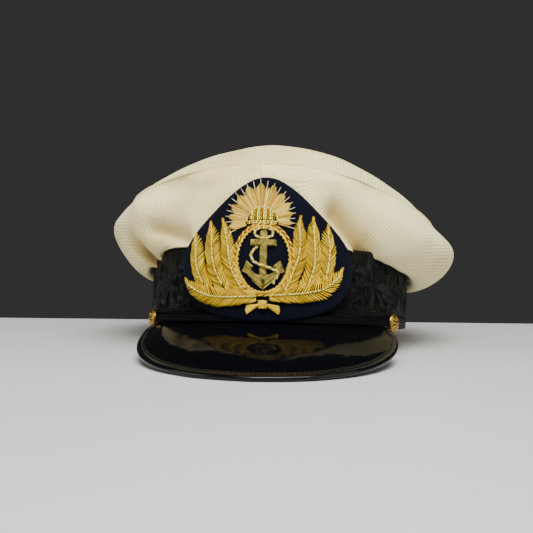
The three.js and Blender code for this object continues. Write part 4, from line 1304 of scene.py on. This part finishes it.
def add_strap():
    """The chin strap: a soft-edged patent band with a raised line at each edge."""
    phi = np.linspace(-STRAP_END, STRAP_END, 181)
    foot = PEAK_TOP + GAP
    head, far = foot + STRAP_HEIGHT, GAP + STRAP_THICKNESS
    lower = [(far - inset, foot + rise) for inset, rise in STRAP_EDGE]
    upper = [(far - inset, head - rise) for inset, rise in reversed(STRAP_EDGE)]
    profile = [*lower, (far, (foot + head) / 2), *upper]
    loops = np.stack([on_band(phi, out, up) for out, up in profile], 1)
    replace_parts(loops_piece("chin_strap_leather", loops, "strap", "black_patent"), "chin_strap")


add_peak()
add_binding()
add_strap()


# Buttons
def button_relief(share, turn):
    """A roped rim, a ring of petals and two plain ridges, at a share of the radius."""
    relief = sum(height * bell(share, place, width) for height, place, width in BUTTON_RIDGES)
    for row in (BUTTON_ROPE, BUTTON_PETALS):
        wave = np.cos(turn * row["turns"] + row["slant"] * share)
        relief = relief + row["height"] * wave * bell(share, row["place"], row["width"])
    return relief


def add_button(node):
    """A gilt button: a foot, a rim and a domed face in relief."""
    low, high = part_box(node)
    seat = to_worn([(low + high) / 2])[0]
    phi = math.atan2(seat[0] / BAND_HALF_WIDTH, -seat[1] / BAND_HALF_LENGTH)
    outward = unit(np.array([math.sin(phi) / BAND_HALF_WIDTH, -math.cos(phi) / BAND_HALF_LENGTH, 0]))
    level = np.array([-outward[1], outward[0], 0])
    foot = seat - outward * BUTTON_SINK
    turn = np.arange(BUTTON_AROUND) / BUTTON_AROUND * 2 * math.pi
    around = np.outer(np.cos(turn), level) + np.outer(np.sin(turn), [0, 0, 1])
    shares = np.linspace(0.97, 0.02, BUTTON_RINGS)
    domed = BUTTON_RIM + (BUTTON_HEIGHT - 0.2 - BUTTON_RIM) * np.sqrt(1 - shares**2)
    profile = [(0.01, 0.0), (0.9, 0.0), (1.0, 0.35), (1.0, BUTTON_RIM), *zip(shares, domed)]
    loops, reliefs = [], []
    for share, height in profile:
        relief = button_relief(share, turn)
        rise = height + relief * (height >= BUTTON_RIM)
        loops.append(foot + around * BUTTON_RADIUS * share + np.outer(rise, outward))
        # The stored relief darkens the gilt in its hollows as painted shade
        reliefs.append(0.5 + 0.9 * relief)
    relief = np.concatenate(reliefs)
    obj = loops_piece(node + "_gilt", np.array(loops), "gilt", "gilt", relief=relief)
    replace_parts(obj, node)


add_button("button_left")
add_button("button_right")


# Stage
def add_table():
    """A slab whose far edge runs behind the cap, square to the camera."""
    middle = to_rest([0, 0, 0])
    centre = Vector((middle[0], middle[1], 0))
    ahead = Vector((-math.sin(CAMERA_AZIMUTH), math.cos(CAMERA_AZIMUTH), 0))
    sideways = Vector((ahead.y, -ahead.x, 0)) * TABLE_HALF_WIDTH
    near, far = centre - ahead * TABLE_AHEAD, centre + ahead * TABLE_BEHIND
    corners = [near - sideways, near + sideways, far + sideways, far - sideways]
    drop = Vector((0, 0, -TABLE_THICKNESS))
    sides = [(0, 4, 5, 1), (1, 5, 6, 2), (2, 6, 7, 3), (3, 7, 4, 0)]
    mesh = bpy.data.meshes.new("table")
    mesh.from_pydata([*corners, *(corner + drop for corner in corners)], [],
                     [(0, 1, 2, 3), (7, 6, 5, 4), *sides])
    table = bpy.data.objects.new("table", mesh)
    bpy.context.collection.objects.link(table)
    mesh.materials.append(table_material())


def add_world():
    world = bpy.data.worlds.new("studio")
    world.use_nodes = True
    background = world.node_tree.nodes["Background"]
    background.inputs["Color"].default_value = WALL_COLOUR
    background.inputs["Strength"].default_value = 1.0
    bpy.context.scene.world = world


add_camera()
add_table()
add_world()
for light_row in LIGHTS:
    add_light(*light_row)
